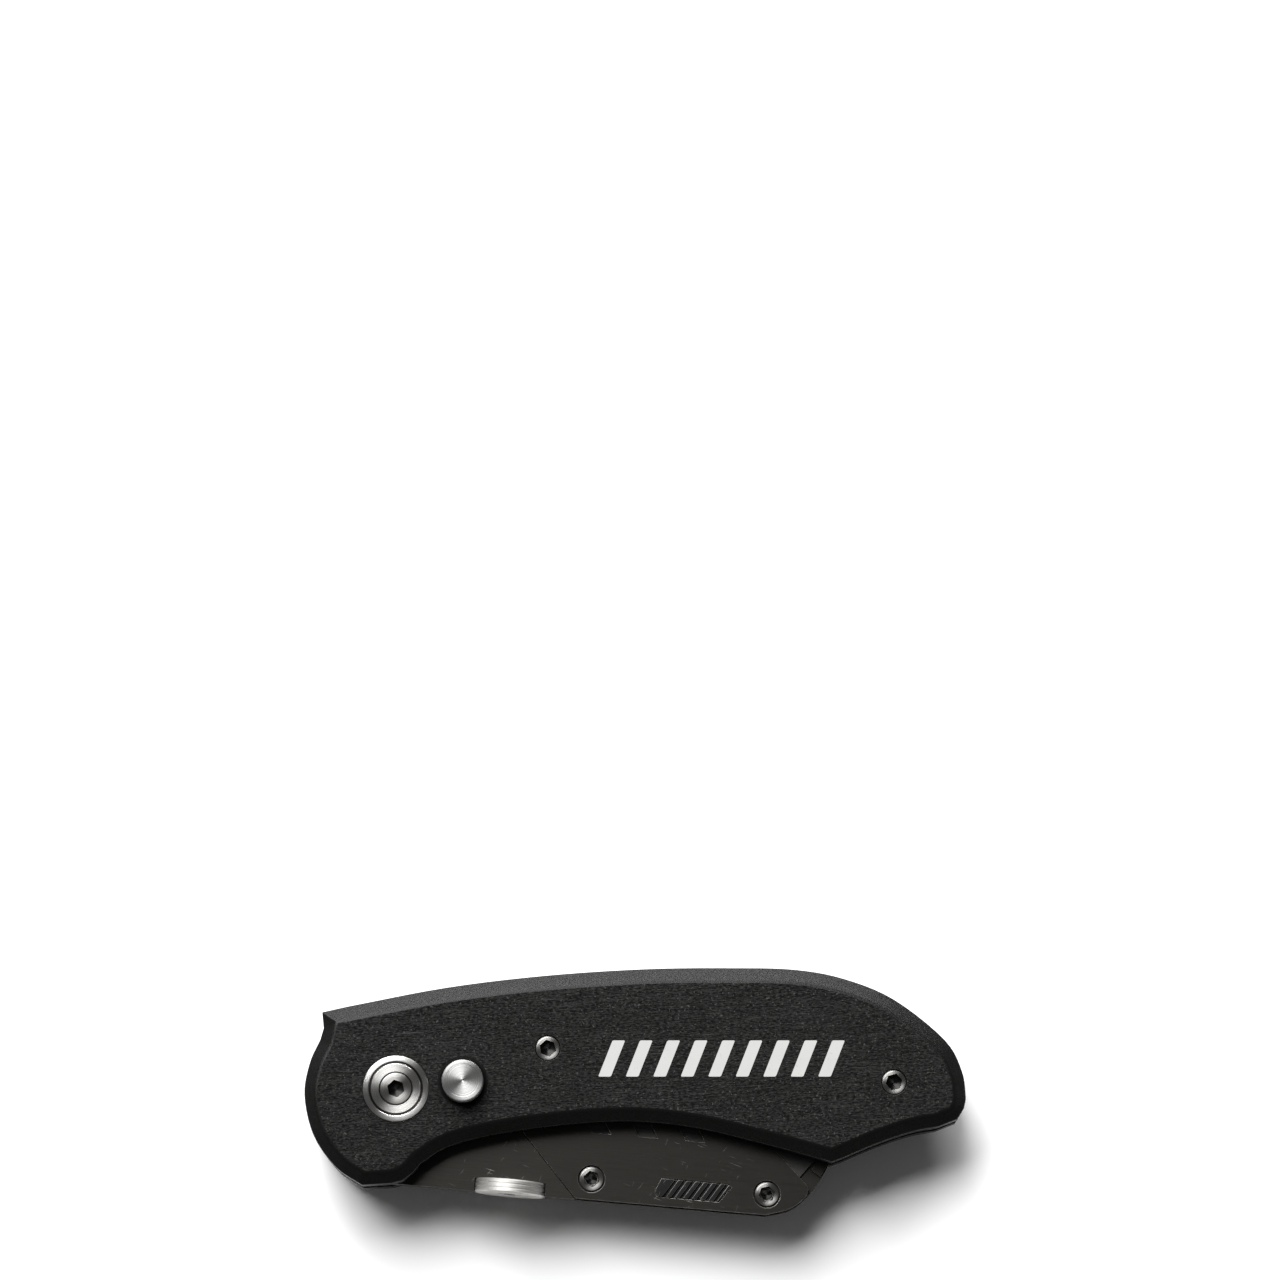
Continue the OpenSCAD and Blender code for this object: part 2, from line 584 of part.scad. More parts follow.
module latch_spring() color("#777777") placed() fold_frame() {
    u0 = flange_u[0] + 1;
    u1 = flange_u[1] - 1;
    low = latch_floor_z + 0.02;
    high = latch_z - 0.02 - leaf_t;
    n = 10;
    arch = [for (i = [0:n]) [u0 + (u1 - u0) * i / n, low + (high - low) * sin(180 * i / n)]];
    translate([0, latch_top_v - 0.9, 0]) rotate([90, 0, 0]) linear_extrude(2)
        polygon(concat(arch, [for (i = [n:-1:0]) arch[i] + [0, leaf_t]]));
}

// ---- Thumb disc ----
disc_screw_l = 5;
disc_head_h = 1.1;
disc_edge = 0.3;
module disc_frame() fold_frame()
    translate([disc_u, disc_back_v, 0]) rotate([90, 0, 0]) children();
module thumb_disc() color("#c9c9c7") placed() disc_frame() difference() {
    union() {
        rod([0, 0], disc_r, 0, disc_t - disc_edge);
        cone([0, 0], disc_r, disc_r - disc_edge, disc_t - disc_edge, disc_t);
    }
    rod([0, 0], screw_r + 0.1, -eps, disc_t + eps);
    rod([0, 0], head_recess_r, disc_t - disc_head_h - 0.1, disc_t + eps);
}
module thumb_disc_screw() color("#b9b9b8") placed() disc_frame()
    socket_screw([0, 0], screw_r, disc_t - disc_head_h - 0.1 + disc_screw_l - 0.4, head_r,
        disc_head_h, 1.15, disc_t - disc_head_h - 0.1);

// ---- Belt clip ----
clip_y = 4;
clip_screw_r = 1.2;
clip_screw_l = 3.4;
clip_base = [butt_x - 21.5, butt_x - 7];
clip_screw_at = [[clip_base[1] - 3.2, clip_y + clip_w / 2 - 2.8],
    [clip_base[1] - 3.2, clip_y - clip_w / 2 + 2.8], [clip_base[0] + 3.2, clip_y]];
clip_reach = 62;
module belt_clip() color("#39383a") placed() {
    far = -outer_z;
    tip_x = clip_base[1] - clip_reach - 12;
    // Side view of the strip's upper face, from the base's end to the tip
    path = [[clip_base[1], 0], [clip_base[0], 0], [clip_base[0] - 6, -clip_gap],
        [tip_x + 14, -clip_gap], [tip_x + 5.5, -0.25], [tip_x + 4, -0.25], [tip_x, -1.8]];
    under = [for (i = [len(path) - 1:-1:0]) path[i] + [0, -clip_t]];
    difference() {
        intersection() {
            translate([0, clip_y + clip_w / 2, far]) rotate([90, 0, 0])
                linear_extrude(clip_w) polygon(concat(path, under));
            union() {
                translate([tip_x + clip_w / 2, clip_y - clip_w / 2, low_z - 1])
                    cube([clip_base[1] - tip_x - clip_w / 2, clip_w, clip_out + 2]);
                rod([tip_x + clip_w / 2, clip_y], clip_w / 2, low_z - 1, far + 1);
            }
        }
        for (at = clip_screw_at) rod(at, clip_screw_r + 0.1, low_z, far + eps);
    }
}
module clip_screws() color("#b9b9b8") placed()
    for (at = clip_screw_at) mirror([0, 0, 1])
        socket_screw(at, clip_screw_r, clip_t + clip_screw_l - 0.3, 2, 1.1, 0.95,
            outer_z + clip_t);

front_scale();
rear_scale();
back_spacer();
handle_screws();
pivot_barrel();
pivot_cap();
pivot_screw();
front_washer();
rear_washer();
stop_pins();
lock_button();
lock_plunger();
lock_spring();
carrier_body();
carrier_cover();
cover_screws();
utility_blade();
blade_latch();
latch_spring();
thumb_disc();
thumb_disc_screw();
belt_clip();
clip_screws();
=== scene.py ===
"""Looks of the folding utility knife: finishes, turned and bent pieces, studio and camera."""

import logging
import math
from contextlib import contextmanager
from dataclasses import dataclass, field
from enum import Enum
from typing import Callable, Iterator, Sequence

import bmesh
import bpy
from mathutils import Matrix, Vector


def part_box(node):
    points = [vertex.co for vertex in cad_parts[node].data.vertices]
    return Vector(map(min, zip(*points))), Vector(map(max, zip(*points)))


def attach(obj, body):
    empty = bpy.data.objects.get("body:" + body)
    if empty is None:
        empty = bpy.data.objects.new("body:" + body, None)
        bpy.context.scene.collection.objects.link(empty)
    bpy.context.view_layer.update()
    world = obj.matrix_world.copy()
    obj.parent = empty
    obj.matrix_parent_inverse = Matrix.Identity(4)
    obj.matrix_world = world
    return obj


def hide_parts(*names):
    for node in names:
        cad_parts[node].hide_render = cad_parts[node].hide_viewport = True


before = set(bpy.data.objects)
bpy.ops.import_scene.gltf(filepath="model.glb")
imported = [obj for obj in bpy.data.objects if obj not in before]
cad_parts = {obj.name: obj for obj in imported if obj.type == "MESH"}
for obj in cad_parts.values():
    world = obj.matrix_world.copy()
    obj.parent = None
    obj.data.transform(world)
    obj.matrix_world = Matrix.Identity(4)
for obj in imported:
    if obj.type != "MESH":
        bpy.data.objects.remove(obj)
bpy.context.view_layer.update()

MM = 0.001
HANDLE, CARRIER, LOCK, LATCH = "handle", "carrier", "lock", "latch"
# The edge attribute marks bevel strips, lightened as rubbed metal and as a painted highlight;
# the deep attribute marks recess faces, painted near-black as painted shade.
EDGE_MARK, PAINTED_SHADE_MARK = "edge", "deep"
LOG = logging.getLogger("knife")
Profile = Sequence[tuple[float, float]]


# ---------------------------------------------------------------- bench work


class Bench:
    """Modelling steps that every piece shares."""

    @staticmethod
    def activate(obj: bpy.types.Object) -> None:
        """Leaves obj as the one selected and active object."""
        bpy.ops.object.select_all(action="DESELECT")
        obj.select_set(True)
        bpy.context.view_layer.objects.active = obj

    @staticmethod
    @contextmanager
    def editing(obj: bpy.types.Object) -> Iterator[None]:
        """Edit mode on obj, with nothing selected on the way in."""
        Bench.activate(obj)
        bpy.ops.object.mode_set(mode="EDIT")
        bpy.ops.mesh.select_mode(type="VERT")
        bpy.ops.mesh.select_all(action="DESELECT")
        try:
            yield
        finally:
            bpy.ops.object.mode_set(mode="OBJECT")

    @staticmethod
    def pick_edges(obj: bpy.types.Object, test: Callable[[bmesh.types.BMEdge], bool]) -> int:
        """Selects the edges that pass a test, in edit mode.

        Args:
            obj: the piece in edit mode.
            test: says whether an edge is wanted.

        Returns:
            How many edges were selected.
        """
        bpy.ops.mesh.select_mode(type="EDGE")
        mesh = bmesh.from_edit_mesh(obj.data)
        wanted = [edge for edge in mesh.edges if test(edge)]
        for edge in wanted:
            edge.select_set(True)
        bmesh.update_edit_mesh(obj.data)
        return len(wanted)

    @staticmethod
    def pick_verts(obj: bpy.types.Object, test: Callable[[Vector], bool]) -> int:
        """Selects the vertices whose place passes a test, in edit mode.

        Args:
            obj: the piece in edit mode.
            test: says whether a place is wanted.

        Returns:
            How many vertices were selected.
        """
        mesh = bmesh.from_edit_mesh(obj.data)
        wanted = [vert for vert in mesh.verts if test(vert.co)]
        for vert in wanted:
            vert.select_set(True)
        mesh.select_flush_mode()
        bmesh.update_edit_mesh(obj.data)
        return len(wanted)

    @staticmethod
    def modify(obj: bpy.types.Object, kind: str, **settings: object) -> None:
        """Adds a modifier with these settings and applies it."""
        Bench.activate(obj)
        modifier = obj.modifiers.new(kind.title(), kind)
        for key, value in settings.items():
            setattr(modifier, key, value)
        bpy.ops.object.modifier_apply(modifier=modifier.name)

    @staticmethod
    def break_edges(obj: bpy.types.Object, width: float, angle_deg: float = 30.0,
                    segments: int = 2) -> None:
        """Bevels the sharp outer corners and marks the new strips in the edge attribute.

        Inner corners stay as they are, so that no pocket grows tighter.

        Args:
            obj: the piece.
            width: width of the bevel.
            angle_deg: edges sharper than this are bevelled.
            segments: strips across the bevel.
        """
        for _ in range(2):
            obj.data.materials.append(None)
        mesh = bmesh.new()
        mesh.from_mesh(obj.data)
        wanted = [float(edge.is_convex and edge.calc_face_angle(0.0) > math.radians(angle_deg))
                  for edge in mesh.edges]
        mesh.free()
        obj.data.attributes.new("bevel_weight_edge", "FLOAT", "EDGE").data.foreach_set(
            "value", wanted)
        Bench.modify(obj, "BEVEL", width=width, segments=segments, limit_method="WEIGHT",
                     use_clamp_overlap=True, material=1)
        marks = obj.data.attributes.new(EDGE_MARK, "FLOAT", "FACE")
        marks.data.foreach_set("value", [
            float(face.material_index == 1) for face in obj.data.polygons])
        obj.data.polygons.foreach_set("material_index", [0] * len(obj.data.polygons))
        Bench.activate(obj)
        bpy.ops.object.shade_smooth_by_angle(angle=math.radians(40))
        Bench.modify(obj, "WEIGHTED_NORMAL", mode="FACE_AREA", weight=100, keep_sharp=True)

    @staticmethod
    def settle(obj: bpy.types.Object, smooth_deg: float = 30.0) -> None:
        """Puts the object's place into its mesh, turns faces outwards and smooths its curves."""
        Bench.activate(obj)
        bpy.ops.object.transform_apply(location=True, rotation=True, scale=True)
        with Bench.editing(obj):
            bpy.ops.mesh.select_all(action="SELECT")
            bpy.ops.mesh.remove_doubles(threshold=1e-7)
            bpy.ops.mesh.normals_make_consistent(inside=False)
        Bench.activate(obj)
        bpy.ops.object.shade_smooth_by_angle(angle=math.radians(smooth_deg))
        Bench.modify(obj, "WEIGHTED_NORMAL", mode="FACE_AREA", weight=100, keep_sharp=True)

    @staticmethod
    def mark_painted_shade(obj: bpy.types.Object, test: Callable[[Vector], bool]) -> None:
        """Marks the faces whose middle passes a test as deep, to be painted near-black as
        painted shade.
        """
        deep = obj.data.attributes.new(PAINTED_SHADE_MARK, "FLOAT", "FACE")
        deep.data.foreach_set("value", [
            float(test(face.center)) for face in obj.data.polygons])

    @staticmethod
    def turned(name: str, profile: Profile, segments: int = 96) -> bpy.types.Object:
        """A lathe-turned solid about Z, from a disc that is extruded and scaled step by step.

        Args:
            name: the new piece's name.
            profile: (radius, height) from the first flat face to the last, in metres.
            segments: corners round the turn.

        Returns:
            The piece, in object mode.
        """
        first_r, first_z = profile[0]
        bpy.ops.mesh.primitive_circle_add(
            vertices=segments, radius=first_r, fill_type="NGON", location=(0, 0, first_z))
        obj = bpy.context.object
        obj.name = name
        bpy.ops.object.transform_apply(location=True)
        with Bench.editing(obj):
            bpy.ops.mesh.select_mode(type="FACE")
            bpy.ops.mesh.select_all(action="SELECT")
            for (r0, z0), (r1, z1) in zip(profile, profile[1:]):
                bpy.ops.mesh.extrude_region_move(
                    TRANSFORM_OT_translate={"value": (0, 0, z1 - z0)})
                grow = r1 / r0
                bpy.ops.transform.resize(value=(grow, grow, 1), center_override=(0, 0, z1))
        Bench.close(obj)
        return obj

    @staticmethod
    def close(obj: bpy.types.Object) -> None:
        """Fills any open rim of obj."""
        with Bench.editing(obj):
            if Bench.pick_edges(obj, lambda edge: edge.is_boundary):
                bpy.ops.mesh.fill_holes(sides=0)

    @staticmethod
    def cut(obj: bpy.types.Object, tool: bpy.types.Object) -> None:
        """Takes the tool's shape out of obj and throws the tool away."""
        Bench.modify(obj, "BOOLEAN", operation="DIFFERENCE", solver="EXACT", object=tool)
        bpy.data.objects.remove(tool)

    @staticmethod
    def place(obj: bpy.types.Object, matrix: Matrix) -> None:
        """Moves obj by a matrix and leaves the move in its mesh."""
        obj.matrix_world = matrix @ obj.matrix_world
        Bench.activate(obj)
        bpy.ops.object.transform_apply(location=True, rotation=True, scale=True)

    @staticmethod
    def copy_of(node: str, name: str) -> bpy.types.Object:
        """A merged copy of a frame node's mesh, with its flat faces made whole."""
        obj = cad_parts[node].copy()
        obj.data = obj.data.copy()
        obj.name = name
        obj.parent = None
        obj.matrix_world = Matrix()
        obj.hide_render = obj.hide_viewport = False
        bpy.context.scene.collection.objects.link(obj)
        obj.data.materials.clear()
        if obj.data.has_custom_normals:
            Bench.activate(obj)
            bpy.ops.mesh.customdata_custom_splitnormals_clear()
        with Bench.editing(obj):
            bpy.ops.mesh.select_all(action="SELECT")
            bpy.ops.mesh.remove_doubles(threshold=2e-6)
            bpy.ops.mesh.dissolve_limited(angle_limit=math.radians(0.2))
        return obj


def finish_piece(obj: bpy.types.Object, body: str, material: bpy.types.Material,
                 nodes: Sequence[str] = ()) -> None:
    """Dresses a new piece and ties it to the frame.

    Args:
        obj: the finished mesh.
        body: the body that it moves with.
        material: its material.
        nodes: frame nodes that it stands for.
    """
    obj.data.materials.clear()
    obj.data.materials.append(material)
    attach(obj, body)
    if nodes:
        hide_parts(*nodes)
    LOG.info("%s: %d faces on %s", obj.name, len(obj.data.polygons), body)


def dress_node(node: str, material: bpy.types.Material) -> None:
    """Gives a frame node its material."""
    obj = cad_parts[node]
    if not obj.material_slots:
        obj.data.materials.append(material)
    for slot in obj.material_slots:
        slot.material = material
    LOG.info("%s: kept from the frame", node)


def centre_of(node: str) -> Vector:
    """The middle of a frame node's box."""
    low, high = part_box(node)
    return (Vector(low) + Vector(high)) / 2


def top_of(node: str) -> float:
    """The height of a frame node's highest point."""
    return Vector(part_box(node)[1]).z


def foot_of(node: str) -> float:
    """The height of a frame node's lowest point."""
    return Vector(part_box(node)[0]).z


# ---------------------------------------------------------------- node trees


class Tree:
    """Short calls that wire one node tree."""

    def __init__(self, tree: bpy.types.NodeTree) -> None:
        """Args: tree is the node tree to wire."""
        self.tree = tree

    def add(self, kind: str, inputs: dict | None = None, **settings: object) -> bpy.types.Node:
        """Adds a node.

        Args:
            kind: the node's type name.
            inputs: socket name or number to a value or to an output socket.
            settings: the node's own properties.

        Returns:
            The node.
        """
        node = self.tree.nodes.new(kind)
        for key, value in settings.items():
            setattr(node, key, value)
        for key, value in (inputs or {}).items():
            self.put(node.inputs[key], value)
        return node

    def put(self, socket: bpy.types.NodeSocket, value: object) -> None:
        """Links an output socket into an input, or sets the input's value."""
        if isinstance(value, bpy.types.NodeSocket):
            self.tree.links.new(value, socket)
        else:
            socket.default_value = value

    def sum(self, operation: str, *values: object) -> bpy.types.NodeSocket:
        """The result of a Math node."""
        node = self.add("ShaderNodeMath", dict(enumerate(values)), operation=operation)
        return node.outputs[0]

    def vector(self, operation: str, *values: object) -> bpy.types.Node:
        """A Vector Math node."""
        return self.add("ShaderNodeVectorMath", dict(enumerate(values)), operation=operation)

    def span(self, value: object, low: float, high: float, to_low: float = 0.0,
             to_high: float = 1.0) -> bpy.types.NodeSocket:
        """A value stretched from one range to another and clamped."""
        node = self.add("ShaderNodeMapRange", {
            "Value": value, "From Min": low, "From Max": high, "To Min": to_low,
            "To Max": to_high}, clamp=True)
        return node.outputs["Result"]

    def noise(self, vector: object, scale: float, detail: float = 2.0,
              roughness: float = 0.5) -> bpy.types.NodeSocket:
        """A noise value over a vector."""
        node = self.add("ShaderNodeTexNoise", {
            "Vector": vector, "Scale": scale, "Detail": detail, "Roughness": roughness})
        return node.outputs[0]

    def mix(self, factor: object, a: object, b: object) -> bpy.types.NodeSocket:
        """A colour mixed from two."""
        node = self.add("ShaderNodeMix", data_type="RGBA")
        self.put(node.inputs[0], factor)
        self.put(node.inputs[6], a)
        self.put(node.inputs[7], b)
        return node.outputs[2]

    def place(self) -> bpy.types.NodeSocket:
        """Object coordinates."""
        return self.add("ShaderNodeTexCoord").outputs["Object"]


class Effect(Enum):
    """Surface effects that several finishes share, each a node group."""

    BRUSHED = "Brushed lines"
    TURNED = "Turned rings"
    SCRATCHED = "Hairline scratches"
    # Lightened broken edges: partly rubbed metal, partly a painted highlight.
    WORN = "Rubbed edges and painted glints"
    SPECKLED = "Speckle"


class EffectShop:
    """Builds each shared effect once and places it in materials."""

    def __init__(self) -> None:
        """Starts with no group built."""
        self.built: dict[Effect, bpy.types.NodeTree] = {}

    def place(self, tree: Tree, effect: Effect, **inputs: object) -> bpy.types.Node:
        """Places an effect in a material.

        Args:
            tree: the material's tree.
            effect: which effect.
            inputs: values for its sockets, with _ for a space in the names.

        Returns:
            The group node.
        """
        if effect not in self.built:
            self.built[effect] = getattr(self, effect.name.lower())()
        node = tree.add("ShaderNodeGroup", node_tree=self.built[effect])
        for key, value in inputs.items():
            tree.put(node.inputs[key.replace("_", " ")], value)
        return node

    @staticmethod
    def begin(effect: Effect, inputs: dict[str, object],
              outputs: Sequence[str]) -> tuple[Tree, bpy.types.Node, bpy.types.Node]:
        """Starts a group with named sockets.

        Args:
            effect: which effect it is.
            inputs: socket name to default, a number or a triple.
            outputs: names of its number outputs.

        Returns:
            Its tree, its input node and its output node.
        """
        group = bpy.data.node_groups.new(effect.value, "ShaderNodeTree")
        for name, default in inputs.items():
            kind = "NodeSocketVector" if isinstance(default, tuple) else "NodeSocketFloat"
            socket = group.interface.new_socket(name, in_out="INPUT", socket_type=kind)
            socket.default_value = default
        for name in outputs:
            group.interface.new_socket(name, in_out="OUTPUT", socket_type="NodeSocketFloat")
        tree = Tree(group)
        return tree, tree.add("NodeGroupInput"), tree.add("NodeGroupOutput")

    def brushed(self) -> bpy.types.NodeTree:
        """Short fine strokes with a few longer ones, along X and leaning by an angle."""
        tree, given, out = self.begin(
            Effect.BRUSHED, {"Lean": 0.0, "Stroke": 350.0, "Fineness": 4200.0},
            ["Height", "Tone", "Streak"])
        turned = tree.add("ShaderNodeVectorRotate", {
            "Vector": tree.place(), "Angle": given.outputs["Lean"]}, rotation_type="Z_AXIS")
        stretch = tree.add("ShaderNodeCombineXYZ", {
            0: given.outputs["Stroke"], 1: given.outputs["Fineness"],
            2: given.outputs["Fineness"]})
        short = tree.vector("MULTIPLY", turned.outputs[0], stretch.outputs[0])
        fine = tree.noise(short.outputs[0], 1.0, 3.0, 0.65)
        longer = tree.vector("MULTIPLY", short.outputs[0], (0.12, 0.8, 0.8))
        strokes = tree.noise(longer.outputs[0], 1.0, 2.0, 0.6)
        height = tree.sum("ADD", fine, tree.sum("MULTIPLY", strokes, 0.3))
        tree.put(out.inputs["Height"], height)
        tree.put(out.inputs["Tone"], tree.span(height, 0.55, 0.85))
        drawn = tree.vector("MULTIPLY", short.outputs[0], (0.08, 1.3, 1.3))
        tree.put(out.inputs["Streak"], tree.span(tree.noise(drawn.outputs[0], 1.0, 0.0),
                                                 0.76, 0.88))
        return tree.tree

    def turned(self) -> bpy.types.NodeTree:
        """Uneven rings about an upright axis through a centre."""
        tree, given, out = self.begin(
            Effect.TURNED, {"Centre": (0.0, 0.0, 0.0), "Fineness": 9000.0}, ["Height", "Tone"])
        arm = tree.vector("SUBTRACT", tree.place(), given.outputs["Centre"])
        flat = tree.vector("MULTIPLY", arm.outputs[0], (1.0, 1.0, 0.0))
        radius = tree.vector("LENGTH", flat.outputs[0]).outputs["Value"]
        line = tree.sum("MULTIPLY", radius, given.outputs["Fineness"])
        node = tree.add("ShaderNodeTexNoise", {"W": line, "Scale": 1.0, "Detail": 3.0,
                                               "Roughness": 0.7}, noise_dimensions="1D")
        tree.put(out.inputs["Height"], node.outputs[0])
        tree.put(out.inputs["Tone"], tree.span(node.outputs[0], 0.35, 0.7))
        return tree.tree

    def scratched(self) -> bpy.types.NodeTree:
        """Thin scratches in three directions, thickest near a centre."""
        tree, given, out = self.begin(
            Effect.SCRATCHED, {"Centre": (0.0, 0.0, 0.0), "Reach": 0.02, "Amount": 0.5},
            ["Mask"])
        spot = tree.place()
        total: object = 0.0
        for angle, shift in ((0.35, 3.1), (-0.9, 7.7), (1.9, 12.3)):
            turned = tree.add("ShaderNodeVectorRotate", {"Vector": spot, "Angle": angle},
                              rotation_type="Z_AXIS")
            drawn = tree.vector("MULTIPLY_ADD", turned.outputs[0], (330.0, 9000.0, 330.0),
                                (shift, shift, shift))
            line = tree.span(tree.noise(drawn.outputs[0], 1.0, 0.0), 0.83, 0.88)
            total = tree.sum("MAXIMUM", total, line)
        away = tree.vector("DISTANCE", spot, given.outputs["Centre"]).outputs["Value"]
        near = tree.sum("DIVIDE", away, given.outputs["Reach"])
        weight = tree.span(near, 0.2, 1.0, 1.0, 0.04)
        mask = tree.sum("MULTIPLY", tree.sum("MULTIPLY", total, weight),
                        given.outputs["Amount"])
        tree.put(out.inputs["Mask"], mask)
        return tree.tree

    def worn(self) -> bpy.types.NodeTree:
        """Lightened broken edges of a piece, partly rubbed metal and partly a painted highlight,
        patchy where Patches is high.
        """
        tree, given, out = self.begin(Effect.WORN, {"Amount": 0.5, "Patches": 0.5}, ["Mask"])
        edge = tree.add("ShaderNodeAttribute", attribute_name=EDGE_MARK).outputs["Fac"]
        cloud = tree.span(tree.noise(tree.place(), 700.0, 4.0), 0.35, 0.65)
        patchy = tree.sum("SUBTRACT", 1.0, tree.sum("MULTIPLY", given.outputs["Patches"], cloud))
        worn = tree.sum("MULTIPLY", edge, tree.sum("MULTIPLY", patchy, given.outputs["Amount"]))
        tree.put(out.inputs["Mask"], worn)
        return tree.tree

    def speckled(self) -> bpy.types.NodeTree:
        """Small light specks, as dust or blasting leaves."""
        tree, given, out = self.begin(
            Effect.SPECKLED, {"Scale": 5200.0, "Threshold": 0.68}, ["Mask"])
        node = tree.add("ShaderNodeTexNoise", {
            "Vector": tree.place(), "Scale": given.outputs["Scale"], "Detail": 2.0})
        over = tree.sum("SUBTRACT", node.outputs[0], given.outputs["Threshold"])
        tree.put(out.inputs["Mask"], tree.span(over, 0.0, 0.06))
        return tree.tree


EFFECTS = EffectShop()


@dataclass(frozen=True)
class Finish:
    """A surface finish that builds one material.

    Attributes:
        name: the material's name.
        colour: linear base colour.
        roughness: the surface's roughness.
        metallic: 1 for bare metal and 0 for a coating.
    """

    name: str
    colour: tuple[float, float, float]
    roughness: float = 0.4
    metallic: float = 1.0

    def start(self) -> tuple[bpy.types.Material, Tree, bpy.types.Node]:
        """A new material with its tree and its shader."""
        material = bpy.data.materials.new(self.name)
        material.use_nodes = True
        tree = Tree(material.node_tree)
        shader = next(n for n in tree.tree.nodes if n.type == "BSDF_PRINCIPLED")
        tree.put(shader.inputs["Base Color"], (*self.colour, 1.0))
        tree.put(shader.inputs["Roughness"], self.roughness)
        tree.put(shader.inputs["Metallic"], self.metallic)
        return material, tree, shader

    def bump(self, tree: Tree, shader: bpy.types.Node, height: object, depth: float,
             strength: float = 1.0) -> None:
        """Raises the surface by a height pattern, depth in metres."""
        node = tree.add("ShaderNodeBump", {"Height": height, "Distance": depth,
                                           "Strength": strength})
        tree.put(shader.inputs["Normal"], node.outputs[0])

    def shade(self, factor: float) -> tuple[float, float, float, float]:
        """The base colour made lighter or darker."""
        red, green, blue = (min(1.0, c * factor) for c in self.colour)
        return red, green, blue, 1.0

    def build(self) -> bpy.types.Material:
        """The plain finish, with a little unevenness of tone and gloss."""
        material, tree, shader = self.start()
        cloud = tree.noise(tree.place(), 260.0, 4.0)
        tree.put(shader.inputs["Base Color"], tree.mix(cloud, self.shade(0.8), self.shade(1.2)))
        tree.put(shader.inputs["Roughness"], tree.span(
            cloud, 0.3, 0.7, self.roughness - 0.05, self.roughness + 0.07))
        fine = tree.noise(tree.place(), 9000.0, 2.0)
        self.bump(tree, shader, fine, 0.004 * MM)
        return material


@dataclass(frozen=True)
class Anodised(Finish):
    """Dyed anodised aluminium: brushed on its flat faces, blasted on its chamfers.

    Attributes:
        lean: angle of the brushing to X, in radians.
        sheen: how strongly the clear oxide mirrors light, 0.5 being glass.
    """

    lean: float = -0.05
    sheen: float = 0.15

    def build(self) -> bpy.types.Material:
        """The anodised material."""
        material, tree, shader = self.start()
        brush = EFFECTS.place(tree, Effect.BRUSHED, Lean=self.lean, Stroke=1400.0,
                              Fineness=4600.0)
        specks = EFFECTS.place(tree, Effect.SPECKLED, Scale=2600.0, Threshold=0.64)
        # Broken edges lightened towards pale grey: partly rubbed metal, partly a painted
        # highlight.
        edge_wear_and_glint = EFFECTS.place(tree, Effect.WORN, Amount=0.3, Patches=0.9)
        normal = tree.add("ShaderNodeTexCoord").outputs["Normal"]
        upright = tree.add("ShaderNodeSeparateXYZ", {0: normal}).outputs["Z"]
        flat = tree.span(tree.sum("ABSOLUTE", upright), 0.985, 0.998)
        grain = tree.noise(tree.place(), 7000.0, 3.0)
        patches = tree.span(tree.noise(tree.place(), 120.0, 4.0, 0.6), 0.35, 0.7, 0.75, 1.0)
        tone = tree.sum("MULTIPLY", brush.outputs["Tone"], patches)
        face = tree.mix(tone, self.shade(0.05), self.shade(3.0))
        side = tree.mix(grain, self.shade(0.3), self.shade(0.9))
        base = tree.mix(flat, side, face)
        light = tree.sum("MAXIMUM", specks.outputs["Mask"], brush.outputs["Streak"])
        bright = tree.sum("MULTIPLY", light, tree.sum("MULTIPLY", flat, 0.6))
        dotted = tree.mix(bright, base, self.shade(9.0))
        # The lightened edges mix in at nine times the base colour, partly rubbed metal and
        # partly a painted highlight.
        tree.put(shader.inputs["Base Color"], tree.mix(
            edge_wear_and_glint.outputs["Mask"], dotted, self.shade(9.0)))
        rough_face = tree.span(brush.outputs["Tone"], 0.0, 1.0, 0.95, 0.6)
        shader.inputs["Specular IOR Level"].default_value = self.sheen
        rough_side = tree.span(grain, 0.3, 0.7, self.roughness - 0.06, self.roughness + 0.02)
        gloss = tree.add("ShaderNodeMix", {0: flat, 2: rough_side, 3: rough_face})
        tree.put(shader.inputs["Roughness"], gloss.outputs[0])
        pattern = tree.add("ShaderNodeMix", {
            0: flat, 2: tree.sum("MULTIPLY", grain, 0.5), 3: brush.outputs["Height"]})
        self.bump(tree, shader, pattern.outputs[0], 0.09 * MM, 1.0)
        return material


@dataclass(frozen=True)
class TurnedSteel(Finish):
    """Bare steel from the lathe, with rings about an upright axis.

    Attributes:
        centre: a point on the axis.
        fineness: rings for each metre of radius.
        depth: depth of the rings, in metres.
    """

    centre: tuple[float, float, float] = (0.0, 0.0, 0.0)
    fineness: float = 9000.0
    depth: float = 0.006 * MM

    def build(self) -> bpy.types.Material:
        """The turned material."""
        material, tree, shader = self.start()
        rings = EFFECTS.place(tree, Effect.TURNED, Centre=self.centre, Fineness=self.fineness)
        marks = EFFECTS.place(tree, Effect.SCRATCHED, Centre=self.centre, Reach=0.02,
                              Amount=0.35)
        turned = tree.mix(rings.outputs["Tone"], self.shade(0.72), self.shade(1.12))
        # Faces marked deep (grooves, clearance rings, socket insides) are painted near-black:
        # painted shade in the recesses.
        deep = tree.add("ShaderNodeAttribute", attribute_name=PAINTED_SHADE_MARK).outputs["Fac"]
        tone = tree.mix(deep, turned, self.shade(0.1))
        tree.put(shader.inputs["Base Color"], tree.mix(
            marks.outputs["Mask"], tone, self.shade(1.4)))
        tree.put(shader.inputs["Roughness"], tree.span(
            rings.outputs["Tone"], 0.0, 1.0, self.roughness + 0.08, self.roughness - 0.05))
        shader.inputs["Anisotropic"].default_value = 0.9
        shader.inputs["Anisotropic Rotation"].default_value = 0.25
        tangent = tree.add("ShaderNodeTangent", direction_type="RADIAL", axis="Z")
        tree.put(shader.inputs["Tangent"], tangent.outputs[0])
        self.bump(tree, shader, rings.outputs["Height"], self.depth)
        return material


